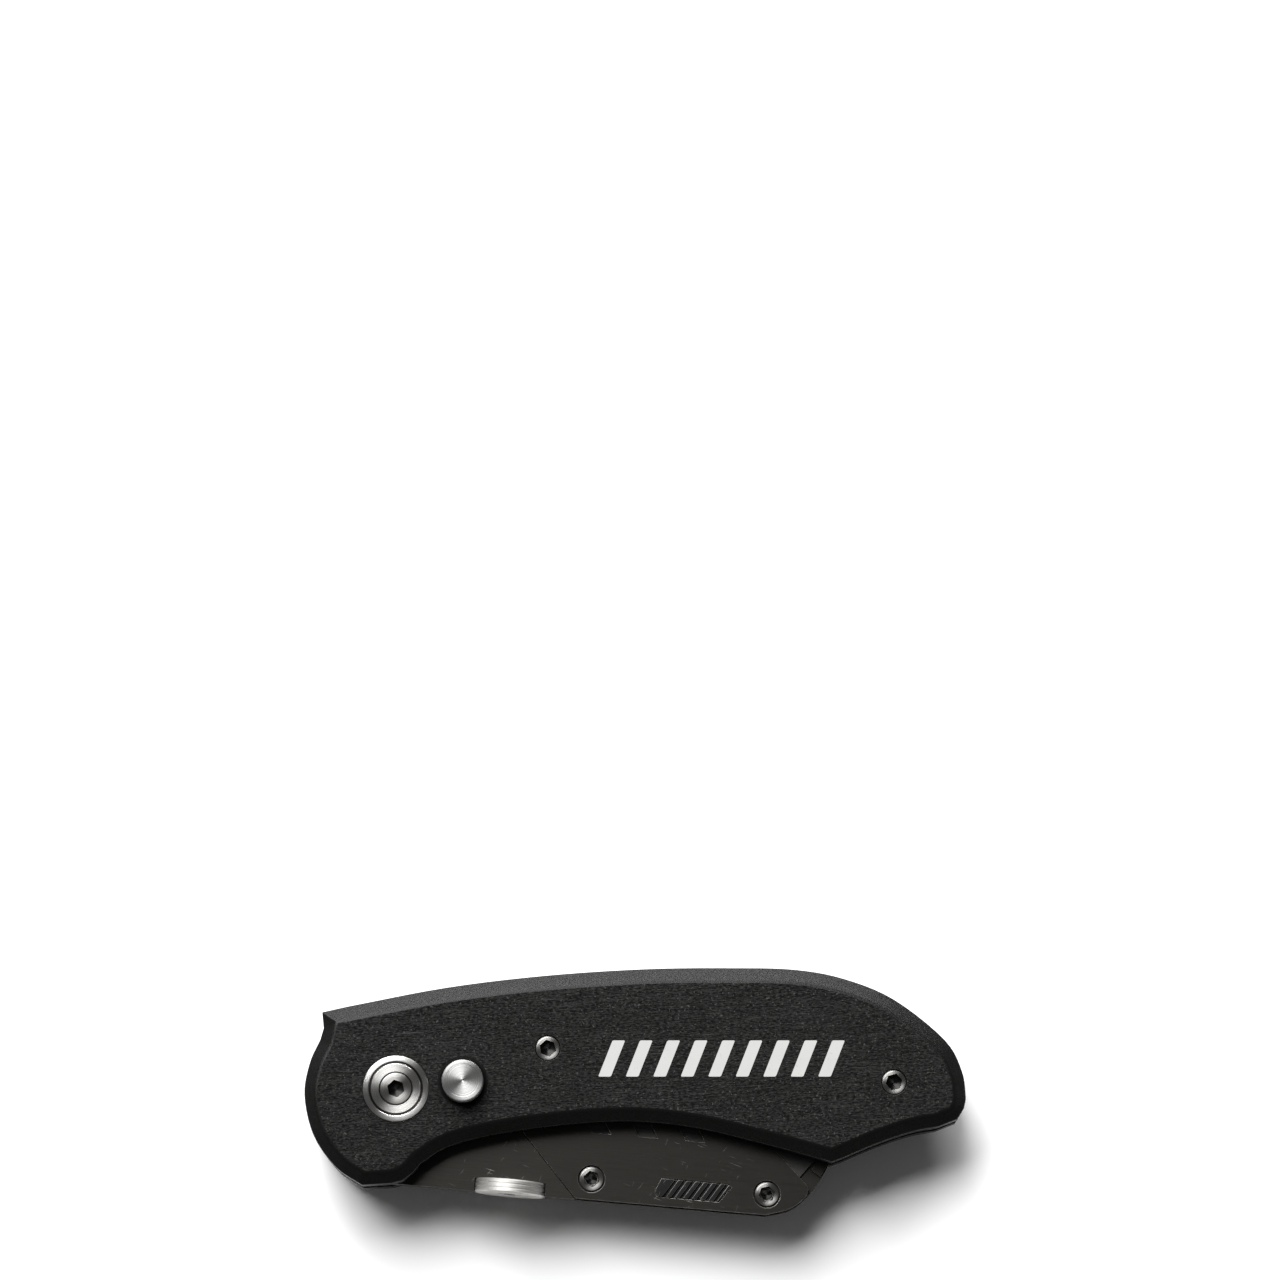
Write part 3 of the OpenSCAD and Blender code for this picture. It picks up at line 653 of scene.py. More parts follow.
@dataclass(frozen=True)
class BrushedSteel(Finish):
    """Steel with fine lines in one direction, marked near a centre.

    Attributes:
        lean: angle of the lines to X, in radians.
        centre: where the marks gather.
        reach: how far the marks spread, in metres.
        marks: how strong the marks are.
        speckle: how strong the specks are.
        depth: depth of the lines, in metres.
        edge_wear_and_glint: how strongly the broken edges are lightened, as rubbed metal and as
            a painted highlight.
    """

    lean: float = 0.0
    centre: tuple[float, float, float] = (0.0, 0.0, 0.0)
    reach: float = 0.02
    marks: float = 0.6
    speckle: float = 0.0
    depth: float = 0.006 * MM
    edge_wear_and_glint: float = 0.5

    def build(self) -> bpy.types.Material:
        """The brushed material."""
        material, tree, shader = self.start()
        brush = EFFECTS.place(tree, Effect.BRUSHED, Lean=self.lean, Stroke=180.0,
                              Fineness=5200.0)
        marks = EFFECTS.place(tree, Effect.SCRATCHED, Centre=self.centre, Reach=self.reach,
                              Amount=self.marks)
        # Broken edges lightened towards pale grey: partly rubbed metal, partly a painted
        # highlight.
        edge_wear_and_glint = EFFECTS.place(tree, Effect.WORN, Amount=self.edge_wear_and_glint, Patches=0.6)
        specks = EFFECTS.place(tree, Effect.SPECKLED, Scale=3600.0, Threshold=0.7)
        cloud = tree.noise(tree.place(), 90.0, 4.0)
        stained = tree.mix(cloud, self.shade(0.72), self.shade(1.25))
        lined = tree.mix(tree.sum("MULTIPLY", brush.outputs["Tone"], 0.5), stained,
                         self.shade(1.5))
        # Scratches, specks and lightened edges go to pale grey; the edge part is partly rubbed
        # metal and partly a painted highlight.
        light = tree.sum("MAXIMUM", marks.outputs["Mask"], edge_wear_and_glint.outputs["Mask"])
        light = tree.sum("MAXIMUM", light, tree.sum(
            "MULTIPLY", specks.outputs["Mask"], self.speckle))
        tree.put(shader.inputs["Base Color"], tree.mix(light, lined, (0.4, 0.39, 0.37, 1.0)))
        tree.put(shader.inputs["Roughness"], tree.span(
            tree.sum("ADD", cloud, brush.outputs["Tone"]), 0.4, 1.5,
            self.roughness + 0.06, self.roughness - 0.05))
        height = tree.sum("SUBTRACT", brush.outputs["Height"], marks.outputs["Mask"])
        self.bump(tree, shader, height, self.depth)
        return material


@dataclass(frozen=True)
class PrintInk(Finish):
    """Pad-printed ink, rubbed thin in spots."""

    def build(self) -> bpy.types.Material:
        """The ink material."""
        material, tree, shader = self.start()
        thin = tree.span(tree.noise(tree.place(), 2600.0, 3.0), 0.62, 0.75)
        cloud = tree.noise(tree.place(), 300.0, 3.0)
        tone = tree.mix(cloud, self.shade(0.93), self.shade(1.04))
        tree.put(shader.inputs["Base Color"], tree.mix(
            tree.sum("MULTIPLY", thin, 0.5), tone, self.shade(0.6)))
        self.bump(tree, shader, tree.noise(tree.place(), 5000.0, 2.0), 0.004 * MM)
        return material


# ---------------------------------------------------------------- the knife


@dataclass
class HandleScales:
    """The two handle halves and the strip between them.

    Attributes:
        edge: width of the broken edges.
        sharp_deg: edges sharper than this are broken.
        rounding: width of the rounding between face and chamfer.
        finish: the scales' finish.
        spacer_finish: the strip's finish.
    """

    edge: float = 0.13 * MM
    sharp_deg: float = 27.0
    rounding: float = 0.45 * MM
    finish: Finish = Anodised("anodised black", (0.0075, 0.0074, 0.0071), 0.32, 0.0)
    spacer_finish: Finish = Finish("spacer black", (0.012, 0.012, 0.013), 0.45, 0.0)

    def soften(self, shell: bpy.types.Object) -> None:
        """Rounds the edge between a scale's flat face and its chamfer."""
        with Bench.editing(shell):
            Bench.pick_edges(shell, lambda edge: len(edge.link_faces) == 2 and sorted(
                self.slope(face) for face in edge.link_faces) == [1, 2])
            bpy.ops.mesh.bevel(offset=self.rounding, segments=4, affect="EDGES")

    @staticmethod
    def slope(face: bmesh.types.BMFace) -> int:
        """2 for a flat face, 1 for a chamfer and 0 for a wall."""
        rise = abs(face.normal.z)
        return 2 if rise > 0.999 else int(0.5 < rise < 0.95)

    def build(self) -> None:
        """Models and dresses the scales."""
        material = self.finish.build()
        for node in ("front_scale", "rear_scale"):
            shell = Bench.copy_of(node, node + "_shell")
            self.soften(shell)
            Bench.break_edges(shell, self.edge, self.sharp_deg)
            finish_piece(shell, HANDLE, material, [node])
        dress_node("back_spacer", self.spacer_finish.build())


@dataclass
class SocketScrew:
    """A socket screw: its head, its hexagon socket and its shank.

    Attributes:
        head_r: radius of the head.
        head_h: height of the head.
        socket_r: corner radius of the socket.
        socket_d: depth of the socket.
        shank_r: radius of the shank.
        shank_l: length of the shank.
    """

    head_r: float
    head_h: float
    socket_r: float
    socket_d: float
    shank_r: float
    shank_l: float

    def model(self, name: str) -> bpy.types.Object:
        """The screw about Z, with the underside of its head at height 0."""
        round_edge = 0.14 * MM
        lip = self.socket_r + 0.28 * (self.head_r - self.socket_r)
        screw = Bench.turned(name, [
            (self.shank_r * 0.7, -self.shank_l), (self.shank_r, -self.shank_l + 0.3 * MM),
            (self.shank_r, 0.0), (self.head_r, 0.0), (self.head_r, self.head_h - round_edge),
            (self.head_r - 0.3 * round_edge, self.head_h - 0.3 * round_edge),
            (self.head_r - round_edge, self.head_h), (lip, self.head_h)], 64)
        bpy.ops.mesh.primitive_cylinder_add(
            vertices=6, radius=self.socket_r, depth=2 * self.socket_d,
            location=(0, 0, self.head_h))
        key = bpy.context.object
        with Bench.editing(key):
            Bench.pick_verts(key, lambda co: co.z < 0)
            floor = self.head_h - self.socket_d
            bpy.ops.mesh.extrude_region_move(
                TRANSFORM_OT_translate={"value": (0, 0, -0.25 * self.socket_d)})
            bpy.ops.transform.resize(value=(0.3, 0.3, 1), center_override=(0, 0, floor))
        Bench.cut(screw, key)
        Bench.modify(screw, "BEVEL", width=0.05 * MM, segments=2, limit_method="ANGLE",
                     angle_limit=math.radians(40))
        Bench.settle(screw, 35)
        # The socket's inside is marked deep, to be painted near-black as painted shade.
        low, high = self.head_h - 1.6 * self.socket_d, self.head_h - 0.04 * MM
        Bench.mark_painted_shade(screw, lambda c: c.xy.length < self.socket_r and low < c.z < high)
        return screw

    def set_in(self, name: str, at: Sequence[Vector], turn: Matrix | None = None) \
            -> list[bpy.types.Object]:
        """Screws at several places.

        Args:
            name: start of the pieces' names.
            at: where the underside of each head goes.
            turn: how the screws are turned, if they aren't upright.

        Returns:
            The screws, each with its own mesh.
        """
        pattern = self.model(name + "_1")
        screws = [pattern]
        for number in range(2, len(at) + 1):
            twin = pattern.copy()
            twin.data = pattern.data.copy()
            twin.name = f"{name}_{number}"
            bpy.context.scene.collection.objects.link(twin)
            screws.append(twin)
        for screw, place, spin in zip(screws, at, (0.2, 0.75, 0.45)):
            Bench.place(screw, Matrix.Translation(place) @ (turn or Matrix())
                        @ Matrix.Rotation(spin, 4, "Z"))
        return screws


def screw_steel(name: str, centre: Vector) -> bpy.types.Material:
    """Screw steel with its turning rings about a screw's own axis."""
    return TurnedSteel(name, (0.23, 0.226, 0.218), 0.34, 1.0, tuple(centre), 7000.0,
                       0.005 * MM).build()


@dataclass
class PivotSet:
    """The turned caps at both ends of the pivot, and the screw that joins them.

    Attributes:
        cap_r: radius of the caps.
        groove_r: radius of the middle of the ring groove.
        groove_w: width of the groove.
        head_r: radius of the screw's head.
        rim: width of the caps' broken edge.
        floor_t: thickness of a hollow cap under the screw's head.
        rear_t: thickness of the rear cap.
        barrel_r: radius of the barrel.
        barrel_l: length of the barrel.
    """

    cap_r: float = 6.05 * MM
    groove_r: float = 4.75 * MM
    groove_w: float = 0.36 * MM
    head_r: float = 2.9 * MM
    rim: float = 0.22 * MM
    floor_t: float = 0.8 * MM
    rear_t: float = 2.75 * MM
    barrel_r: float = 2.5 * MM
    barrel_l: float = 9.6 * MM

    def cap(self, name: str, foot: float, top: float, hollow: bool) -> bpy.types.Object:
        """One cap about Z.

        Args:
            name: its name.
            foot: height of its flat underside.
            top: height of its face.
            hollow: whether the screw's head sits in it.

        Returns:
            The cap.
        """
        half = self.groove_w / 2
        inner = self.head_r + 0.05 * MM
        step = 0.13 * MM
        profile = [
            (self.cap_r, foot), (self.cap_r, top - self.rim),
            (self.cap_r - 0.35 * self.rim, top - 0.35 * self.rim),
            (self.cap_r - self.rim, top), (self.groove_r + half + step, top),
            (self.groove_r + half, top - step * 0.6),
            (self.groove_r + half * 0.6, top - 0.24 * MM),
            (self.groove_r - half * 0.6, top - 0.24 * MM),
            (self.groove_r - half, top - step * 0.6),
            (self.groove_r - half - step, top)]
        if hollow:
            profile += [(inner + 0.14 * MM, top), (inner, top - 0.14 * MM),
                        (inner, foot + self.floor_t), (inner * 0.5, foot + self.floor_t)]
        else:
            profile += [(inner + 0.1 * MM, top - 0.05 * MM), (inner, top - 0.2 * MM),
                        (inner - 0.2 * MM, top - 0.2 * MM), (inner - 0.3 * MM, top - 0.05 * MM),
                        (0.6 * MM, top), (0.25 * MM, top - 0.2 * MM)]
        cap = Bench.turned(name, profile, 128)
        # The groove and the ring round the screw's head are marked deep, to be painted
        # near-black as painted shade.
        Bench.mark_painted_shade(cap, lambda c: half > abs(c.xy.length - self.groove_r)
                        or inner - 0.02 * MM < c.xy.length < inner + 0.1 * MM)
        return cap

    def build(self) -> None:
        """Models and dresses the pivot."""
        centre = centre_of("pivot_cap")
        axis = Vector((centre.x, centre.y, 0.0))
        finish = TurnedSteel("turned cap steel", (0.36, 0.355, 0.345), 0.3, 1.0, tuple(axis),
                             8500.0, 0.009 * MM).build()
        front = self.cap("pivot_cap_turned", foot_of("pivot_cap"), top_of("pivot_cap"), True)
        Bench.place(front, Matrix.Translation(axis))
        Bench.settle(front)
        finish_piece(front, HANDLE, finish, ["pivot_cap"])

        low = foot_of("pivot_barrel")
        rear = self.cap("pivot_barrel_turned", low + self.rear_t, low, False)
        self.add_barrel(rear, low + self.rear_t)
        Bench.place(rear, Matrix.Translation(axis))
        Bench.settle(rear)
        finish_piece(rear, HANDLE, finish, ["pivot_barrel"])

        seat = foot_of("pivot_cap") + self.floor_t
        screw = SocketScrew(self.head_r, top_of("pivot_cap") - 0.03 * MM - seat, 1.62 * MM,
                            1.5 * MM, 1.5 * MM, 8 * MM)
        for piece in screw.set_in("pivot_screw_socket", [axis + Vector((0, 0, seat))]):
            finish_piece(piece, HANDLE, screw_steel("pivot screw steel", axis),
                         ["pivot_screw"])
        bronze = BrushedSteel("washer bronze", (0.55, 0.36, 0.16), 0.35).build()
        dress_node("front_washer", bronze)
        dress_node("rear_washer", bronze)

    def add_barrel(self, cap: bpy.types.Object, seat: float) -> None:
        """Draws the plain barrel out of the rear cap's flat back."""
        with Bench.editing(cap):
            bpy.ops.mesh.select_mode(type="FACE")
            Bench.pick_verts(cap, lambda co: abs(co.z - seat) < 1e-6)
            bpy.ops.mesh.inset(thickness=self.cap_r - self.barrel_r)
            bpy.ops.mesh.extrude_region_move(
                TRANSFORM_OT_translate={"value": (0, 0, self.barrel_l)})


@dataclass
class ButtonLock:
    """The lock button with its plunger, pins and spring.

    Attributes:
        button_r: radius of the button.
        rim: width of its rounded edge.
    """

    button_r: float = 3.76 * MM
    rim: float = 0.3 * MM

    def build(self) -> None:
        """Models and dresses the lock."""
        centre = centre_of("lock_button")
        axis = Vector((centre.x, centre.y, 0.0))
        low, top = foot_of("lock_button"), top_of("lock_button")
        button = Bench.turned("lock_button_turned", [
            (self.button_r - 0.2 * MM, low), (self.button_r, low + 0.2 * MM),
            (self.button_r, top - self.rim),
            (self.button_r - 0.12 * self.rim, top - 0.5 * self.rim),
            (self.button_r - 0.5 * self.rim, top - 0.12 * self.rim),
            (self.button_r - self.rim, top),
            (self.button_r - 0.7 * MM, top), (self.button_r - 0.76 * MM, top - 0.04 * MM),
            (0.24 * MM, top - 0.04 * MM), (0.08 * MM, top - 0.14 * MM)], 128)
        Bench.place(button, Matrix.Translation(axis))
        Bench.settle(button)
        finish = TurnedSteel("turned button steel", (0.34, 0.34, 0.335), 0.42, 1.0,
                             tuple(axis), 5200.0, 0.008 * MM).build()
        finish_piece(button, LOCK, finish, ["lock_button"])
        dress_node("lock_plunger", screw_steel("plunger steel", axis))
        spring = Finish("spring steel", (0.28, 0.28, 0.29), 0.3).build()
        for node in ("lock_spring", "latch_spring"):
            dress_node(node, spring)
        dress_node("stop_pins", Finish("pin steel", (0.5, 0.5, 0.5), 0.3).build())


@dataclass
class BladeCarrier:
    """The carrier, its cover, the blade and the latch.

    Attributes:
        lean: angle of the folded carrier to X.
        edge: width of the broken edges.
        steel: colour of the oxide coating.
    """

    lean: float = math.radians(5)
    edge: float = 0.09 * MM
    steel: tuple[float, float, float] = (0.027, 0.0258, 0.0235)

    def plate(self, node: str, body: str, slot: str, material: bpy.types.Material,
              edge: float) -> None:
        """A frame node's plate with its edges broken.

        Args:
            node: the frame node that it stands for.
            body: the body that it moves with.
            slot: its material slot; not used.
            material: its material.
            edge: width of the broken edges.
        """
        plate = Bench.copy_of(node, node + "_plate")
        Bench.break_edges(plate, edge)
        finish_piece(plate, body, material, [node])

    def build(self) -> None:
        """Models and dresses the carrier."""
        disc = tuple(centre_of("thumb_disc"))
        latch = tuple(centre_of("blade_latch"))
        body_steel = BrushedSteel("carrier steel", self.steel, 0.38, 1.0, self.lean, disc,
                                  13 * MM, 0.6, edge_wear_and_glint=0.55)
        cover_steel = BrushedSteel("cover steel", self.steel, 0.36, 1.0, self.lean, latch,
                                   13 * MM, 0.6, edge_wear_and_glint=0.75)
        self.plate("carrier_body", CARRIER, "carrier_steel", body_steel.build(), self.edge)
        self.plate("carrier_cover", CARRIER, "carrier_steel", cover_steel.build(), self.edge)
        # The blade's steel is set near-black, far darker than bare blade steel: painted shade
        # for the blade lying in the handle's shadow.
        blade_steel = BrushedSteel("blade steel", (0.05, 0.049, 0.047), 0.36, 1.0, self.lean,
                                   tuple(centre_of("utility_blade")), 40 * MM, 0.4, 0.1)
        self.plate("utility_blade", CARRIER, "blade_steel", blade_steel.build(), 0.03 * MM)
        latch_coat = BrushedSteel("latch black", (0.008, 0.008, 0.008), 0.42, 0.8, self.lean,
                                  latch, 12 * MM, 0.7, 0.2, 0.006 * MM, 0.3)
        self.plate("blade_latch", LATCH, "latch_black", latch_coat.build(), 0.12 * MM)


@dataclass
class Screws:
    """All the screws but the pivot's.

    Attributes:
        handle: the two through the front scale.
        cover: the two in the carrier's cover.
        clip: the three that hold the belt clip.
        disc: the one in the thumb disc.
    """

    handle: SocketScrew = field(default_factory=lambda: SocketScrew(
        2.2 * MM, 1.6 * MM, 1.55 * MM, 1.2 * MM, 1.25 * MM, 12 * MM))
    cover: SocketScrew = field(default_factory=lambda: SocketScrew(
        2.2 * MM, 0.75 * MM, 1.5 * MM, 0.9 * MM, 1.0 * MM, 2.2 * MM))
    clip: SocketScrew = field(default_factory=lambda: SocketScrew(
        2.0 * MM, 1.1 * MM, 1.0 * MM, 0.7 * MM, 1.2 * MM, 3.8 * MM))
    disc: SocketScrew = field(default_factory=lambda: SocketScrew(
        2.2 * MM, 1.1 * MM, 1.2 * MM, 0.7 * MM, 1.25 * MM, 5.5 * MM))

    @staticmethod
    def corners(node: str, reach: float) -> tuple[Vector, Vector]:
        """Centres of the end screws of a frame node, reach in from its box."""
        low, high = (Vector(corner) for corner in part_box(node))
        inset = Vector((reach, reach, 0))
        return low + inset, high - inset

    def dress(self, pieces: Sequence[bpy.types.Object], body: str, node: str) -> None:
        """Gives each screw its steel and ties the first to the frame node."""
        for number, piece in enumerate(pieces):
            middle = sum((v.co for v in piece.data.vertices), Vector()) / len(
                piece.data.vertices)
            steel = screw_steel(piece.name + " steel", middle)
            finish_piece(piece, body, steel, [] if number else [node])

    def build(self) -> None:
        """Models and dresses the screws."""
        low, high = self.corners("handle_screws", self.handle.head_r)
        seat = high.z - self.handle.head_h
        places = [Vector((low.x, high.y, seat)), Vector((high.x, low.y, seat))]
        self.dress(self.handle.set_in("handle_screw", places), HANDLE, "handle_screws")

        low, high = self.corners("cover_screws", self.cover.head_r)
        seat = high.z - self.cover.head_h
        places = [Vector((low.x, high.y, seat)), Vector((high.x, low.y, seat))]
        self.dress(self.cover.set_in("cover_screw", places), CARRIER, "cover_screws")

        low, high = self.corners("clip_screws", self.clip.head_r)
        seat = low.z + self.clip.head_h
        middle = (low.y + high.y) / 2
        places = [Vector((high.x, high.y, seat)), Vector((high.x, low.y, seat)),
                  Vector((low.x, middle, seat))]
        over = Matrix.Rotation(math.pi, 4, "X")
        self.dress(self.clip.set_in("clip_screw", places, over), HANDLE, "clip_screws")


@dataclass
class ThumbDisc:
    """The turned disc in the carrier's spine edge, and its screw.

    Attributes:
        radius: the disc's radius.
        thick: its thickness.
        lean: angle of the folded carrier to X.
        grooves: how many grip grooves run round its rim.
        recess_r: radius of the recess for the screw's head.
        recess_d: depth of that recess.
    """

    radius: float = 6.45 * MM
    thick: float = 2.5 * MM
    lean: float = math.radians(5)
    grooves: int = 2
    recess_r: float = 2.35 * MM
    recess_d: float = 1.2 * MM

    def turn(self) -> Matrix:
        """From upright to the disc's axis, which points out of the carrier's spine."""
        return Matrix.Rotation(-self.lean, 4, "Z") @ Matrix.Rotation(math.pi / 2, 4, "X")

    def build(self, screws: Screws) -> None:
        """Models and dresses the disc and its screw."""
        r, t, rim = self.radius, self.thick, 0.25 * MM
        profile = [(r - rim, -t / 2), (r, -t / 2 + rim)]
        for number in range(self.grooves):
            z = (number - (self.grooves - 1) / 2) * 0.8 * MM
            profile += [(r, z - 0.16 * MM), (r - 0.1 * MM, z - 0.07 * MM),
                        (r - 0.1 * MM, z + 0.07 * MM), (r, z + 0.16 * MM)]
        profile += [(r, t / 2 - rim), (r - rim, t / 2), (self.recess_r + 0.15 * MM, t / 2),
                    (self.recess_r, t / 2 - 0.15 * MM),
                    (self.recess_r, t / 2 - self.recess_d), (1.0 * MM, t / 2 - self.recess_d)]
        disc = Bench.turned("thumb_disc_turned", profile, 128)
        centre = centre_of("thumb_disc")
        Bench.place(disc, Matrix.Translation(centre) @ self.turn())
        Bench.settle(disc, 28)
        steel = BrushedSteel("thumb disc steel", (0.5, 0.49, 0.47), 0.52, 1.0, self.lean,
                             tuple(centre), 12 * MM, 0.5, 0.1, 0.02 * MM, 0.3)
        finish_piece(disc, CARRIER, steel.build(), ["thumb_disc"])
        seat = centre + self.turn() @ Vector((0, 0, t / 2 - self.recess_d))
        pieces = screws.disc.set_in("thumb_disc_screw_socket", [seat], self.turn())
        screws.dress(pieces, CARRIER, "thumb_disc_screw")


@dataclass
class BeltClip:
    """The bent strip on the rear scale.

    Attributes:
        thick: thickness of the strip.
        gap: room between its long run and the scale.
        base_l: length of the screwed base.
        ramp: length of the bend down to the long run.
        bend: size of the rounding at each bend.
    """

    thick: float = 0.9 * MM
    gap: float = 3.0 * MM
    base_l: float = 14.5 * MM
    ramp: float = 6.0 * MM
    bend: float = 1.3 * MM

    def build(self) -> None:
        """Models and dresses the clip."""
        low, high = (Vector(corner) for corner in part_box("belt_clip"))
        face, mid_y, width = high.z, (low.y + high.y) / 2, high.y - low.y
        tip = low.x
        path = [(high.x, 0.0), (high.x - self.base_l, 0.0),
                (high.x - self.base_l - self.ramp, -self.gap), (tip + 14 * MM, -self.gap),
                (tip + 5.5 * MM, -0.25 * MM), (tip + 4 * MM, -0.25 * MM), (tip, -1.8 * MM)]
        bpy.ops.mesh.primitive_plane_add(size=1, location=(0, 0, 0))
        clip = bpy.context.object
        clip.name = "belt_clip_bent"
        with Bench.editing(clip):
            bpy.ops.mesh.select_all(action="SELECT")
            bpy.ops.transform.resize(value=(self.base_l, width, 1), center_override=(0, 0, 0))
            bpy.ops.transform.translate(value=(high.x - self.base_l / 2, mid_y, face))
            edge_x = path[1][0]
            for (x0, z0), (x1, z1) in zip(path[1:], path[2:]):
                bpy.ops.mesh.select_all(action="DESELECT")
                Bench.pick_edges(clip, lambda e, x=edge_x: all(
                    abs(v.co.x - x) < 1e-6 for v in e.verts))
                bpy.ops.mesh.extrude_edges_move(
                    TRANSFORM_OT_translate={"value": (x1 - x0, 0, z1 - z0)})
                edge_x = x1
            bends = [x for x, _ in path[1:-1]]
            bpy.ops.mesh.select_all(action="DESELECT")
            Bench.pick_edges(clip, lambda e: any(all(
                abs(v.co.x - x) < 1e-6 for v in e.verts) for x in bends))
            bpy.ops.mesh.bevel(offset=self.bend * 0.5, segments=4, affect="EDGES")
            bpy.ops.mesh.select_all(action="DESELECT")
            bpy.ops.mesh.select_mode(type="VERT")
            Bench.pick_verts(clip, lambda co: co.x < tip + 1e-6)
            bpy.ops.mesh.bevel(offset=0.36 * width, segments=6, affect="VERTICES")
            bpy.ops.mesh.select_all(action="DESELECT")
            Bench.pick_verts(clip, lambda co: co.x > high.x - 1e-6)
            bpy.ops.mesh.bevel(offset=0.2 * width, segments=5, affect="VERTICES")
            bpy.ops.mesh.select_all(action="SELECT")
            bpy.ops.mesh.normals_make_consistent(inside=False)
        up = sum((p.normal.z for p in clip.data.polygons)) > 0
        Bench.modify(clip, "SOLIDIFY", thickness=self.thick, offset=-1.0 if up else 1.0,
                     use_even_offset=True)
        Bench.modify(clip, "BEVEL", width=0.12 * MM, segments=2, limit_method="ANGLE",
                     angle_limit=math.radians(50))
        Bench.settle(clip, 30)
        coat = BrushedSteel("clip black", (0.018, 0.018, 0.019), 0.4, 0.3, 0.0,
                            (tip, mid_y, 0.0), 30 * MM, 0.5, 0.15, 0.004 * MM, 0.6)
        finish_piece(clip, HANDLE, coat.build(), ["belt_clip"])


@dataclass
class PrintedBars:
    """A plain row of slanted bars printed on the front scale.

    Attributes:
        left: left end of the row, from the pivot.
        foot: lower edge of the row, from the pivot.
        bars: how many bars.
        pitch: distance from one bar to the next.
        wide: width of a bar.
        tall: height of a bar.
        slant: how far a bar leans over its height.
        ink_t: thickness of the ink.
    """

    left: float = 36.8 * MM
    foot: float = 2.2 * MM
    bars: int = 9
    pitch: float = 5.0 * MM
    wide: float = 2.3 * MM
    tall: float = 6.6 * MM
    slant: float = 2.6 * MM
    ink_t: float = 0.015 * MM

    def build(self) -> None:
        """Models and dresses the print."""
        pivot = centre_of("pivot_cap")
        face = top_of("front_scale")
        bpy.ops.mesh.primitive_plane_add(size=1, location=(0, 0, 0))
        bar = bpy.context.object
        bar.name = "printed_bars"
        with Bench.editing(bar):
            bpy.ops.mesh.select_all(action="SELECT")
            bpy.ops.transform.resize(value=(self.wide, self.tall, 1), center_override=(0, 0, 0))
            bpy.ops.mesh.select_all(action="DESELECT")
            Bench.pick_verts(bar, lambda co: co.y > 0)
            bpy.ops.transform.translate(value=(self.slant, 0, 0))
            bpy.ops.mesh.select_all(action="SELECT")
            bpy.ops.mesh.bevel(offset=0.25 * MM, segments=3, affect="VERTICES")
            bpy.ops.mesh.select_all(action="SELECT")
            bpy.ops.mesh.extrude_region_move(
                TRANSFORM_OT_translate={"value": (0, 0, self.ink_t)})
        Bench.modify(bar, "ARRAY", count=self.bars, use_relative_offset=False,
                     use_constant_offset=True, constant_offset_displace=(self.pitch, 0, 0))
        Bench.place(bar, Matrix.Translation((
            pivot.x + self.left + self.wide / 2, pivot.y + self.foot + self.tall / 2, face)))
        Bench.settle(bar, 20)
        ink = PrintInk("print ink", (0.42, 0.42, 0.41), 0.55, 0.0)
        finish_piece(bar, HANDLE, ink.build())


# ---------------------------------------------------------------- studio


@dataclass(frozen=True)
class SoftBox:
    """One soft area light.

    Attributes:
        name: its name.
        at: where it stands.
        wide: its width.
        deep: its other side.
        power: its power in watts.
        aim: where it points.
    """

    name: str
    at: tuple[float, float, float]
    wide: float
    deep: float
    power: float
    aim: tuple[float, float, float] = (0.0, 0.0, 0.0)

    def hang(self) -> None:
        """Adds the light to the scene."""
        light = bpy.data.lights.new(self.name, "AREA")
        light.shape = "RECTANGLE"
        light.size, light.size_y, light.energy = self.wide, self.deep, self.power
        lamp = bpy.data.objects.new(self.name, light)
        lamp.location = self.at
        way = Vector(self.aim) - Vector(self.at)
        lamp.rotation_euler = way.to_track_quat("-Z", "Y").to_euler()
        bpy.context.scene.collection.objects.link(lamp)


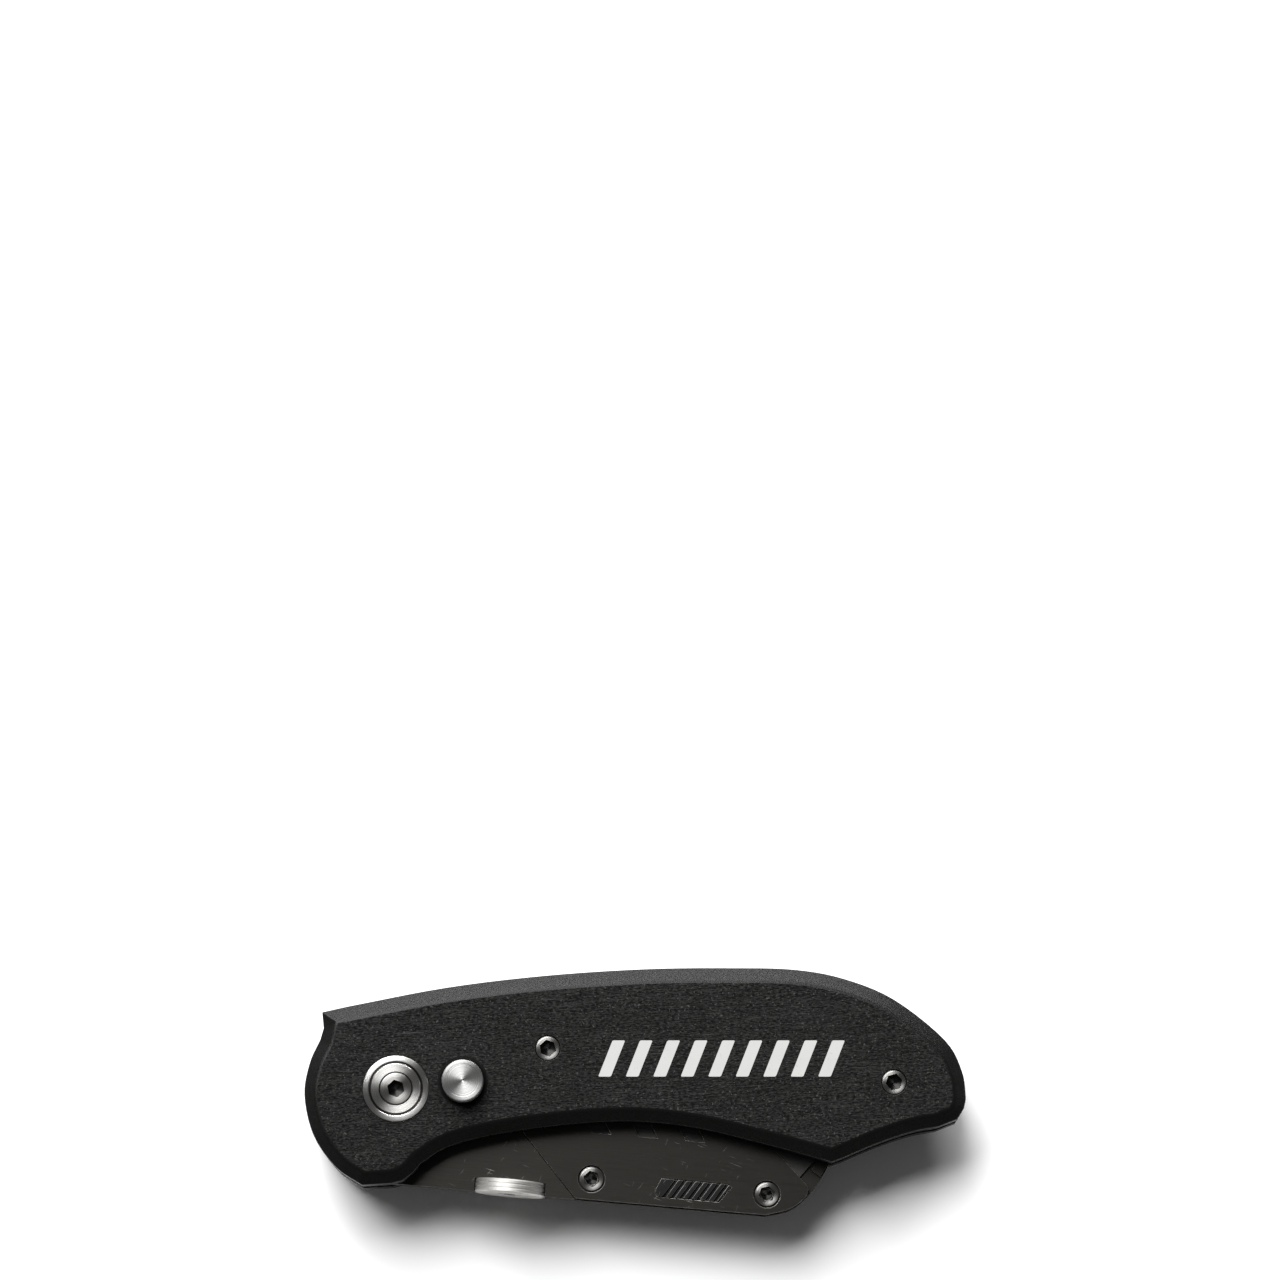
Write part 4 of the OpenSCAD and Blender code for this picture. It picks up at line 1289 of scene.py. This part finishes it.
@dataclass
class Studio:
    """The floor, the lights, the surroundings and the camera.

    Attributes:
        tilt: how far the view leans from straight down, towards -Y, in degrees.
        distance: from the camera to the knife's face.
        seen: width of the view at the knife's face.
        drop: how far below the middle of the view the knife's middle lies.
        aside: how far left of the middle of the view it lies.
        floor_size: side of the floor.
        sensor: width of the camera's sensor, in millimetres.
        boxes: the soft lights.
    """

    tilt: float = 5.0
    distance: float = 1.1
    seen: float = 0.23273
    drop: float = 0.08185
    aside: float = 0.0009
    floor_size: float = 8.0
    sensor: float = 36.0
    boxes: Sequence[SoftBox] = (
        SoftBox("key", (-0.42, 0.78, 1.2), 1.0, 0.9, 38.0),
        SoftBox("rake", (0.0, 1.3, 0.6), 1.5, 0.13, 24.0),
    )

    def build(self) -> None:
        """Lays the floor, hangs the lights and sets up the camera."""
        self.floor()
        for box in self.boxes:
            box.hang()
        world = bpy.data.worlds.new("surroundings")
        world.use_nodes = True
        background = world.node_tree.nodes["Background"]
        background.inputs[0].default_value = (1.0, 1.0, 1.0, 1.0)
        background.inputs[1].default_value = 0.09
        bpy.context.scene.world = world
        bpy.context.scene.view_settings.view_transform = "Standard"
        self.camera()

    def floor(self) -> None:
        """A plain pale floor."""
        bpy.ops.mesh.primitive_plane_add(size=self.floor_size, location=(0, 0, 0))
        floor = bpy.context.object
        floor.name = "floor"
        material, tree, shader = Finish("floor white", (0.95, 0.95, 0.95), 0.9, 0.0).start()
        tree.put(shader.inputs["Specular IOR Level"], 0.0)
        floor.data.materials.append(material)

    def camera(self) -> None:
        """The camera, with no shift and no depth of field."""
        data = bpy.data.cameras.new("camera")
        camera = bpy.data.objects.new("camera", data)
        bpy.context.scene.collection.objects.link(camera)
        below = math.asin(self.drop / self.distance)
        depth = self.distance * math.cos(below)
        data.sensor_width = self.sensor
        data.lens = self.sensor * depth / self.seen
        lean = math.radians(self.tilt)
        knife = Vector((0.0, 0.0, top_of("front_scale")))
        ray = Vector((0.0, math.sin(lean), -math.cos(lean)))
        forward = Vector((0.0, math.sin(lean + below), -math.cos(lean + below)))
        camera.location = knife - ray * self.distance + Vector((self.aside, 0, 0))
        camera.rotation_euler = forward.to_track_quat("-Z", "Y").to_euler()
        data.clip_start, data.clip_end = 0.05, 20.0
        bpy.context.scene.camera = camera


def main() -> None:
    """Builds the studio and the knife."""
    logging.basicConfig(level=logging.INFO, format="%(name)s %(message)s")
    Studio().build()
    HandleScales().build()
    PivotSet().build()
    ButtonLock().build()
    BladeCarrier().build()
    screws = Screws()
    screws.build()
    ThumbDisc().build(screws)
    BeltClip().build()
    PrintedBars().build()


if __name__ == "__main__":
    main()
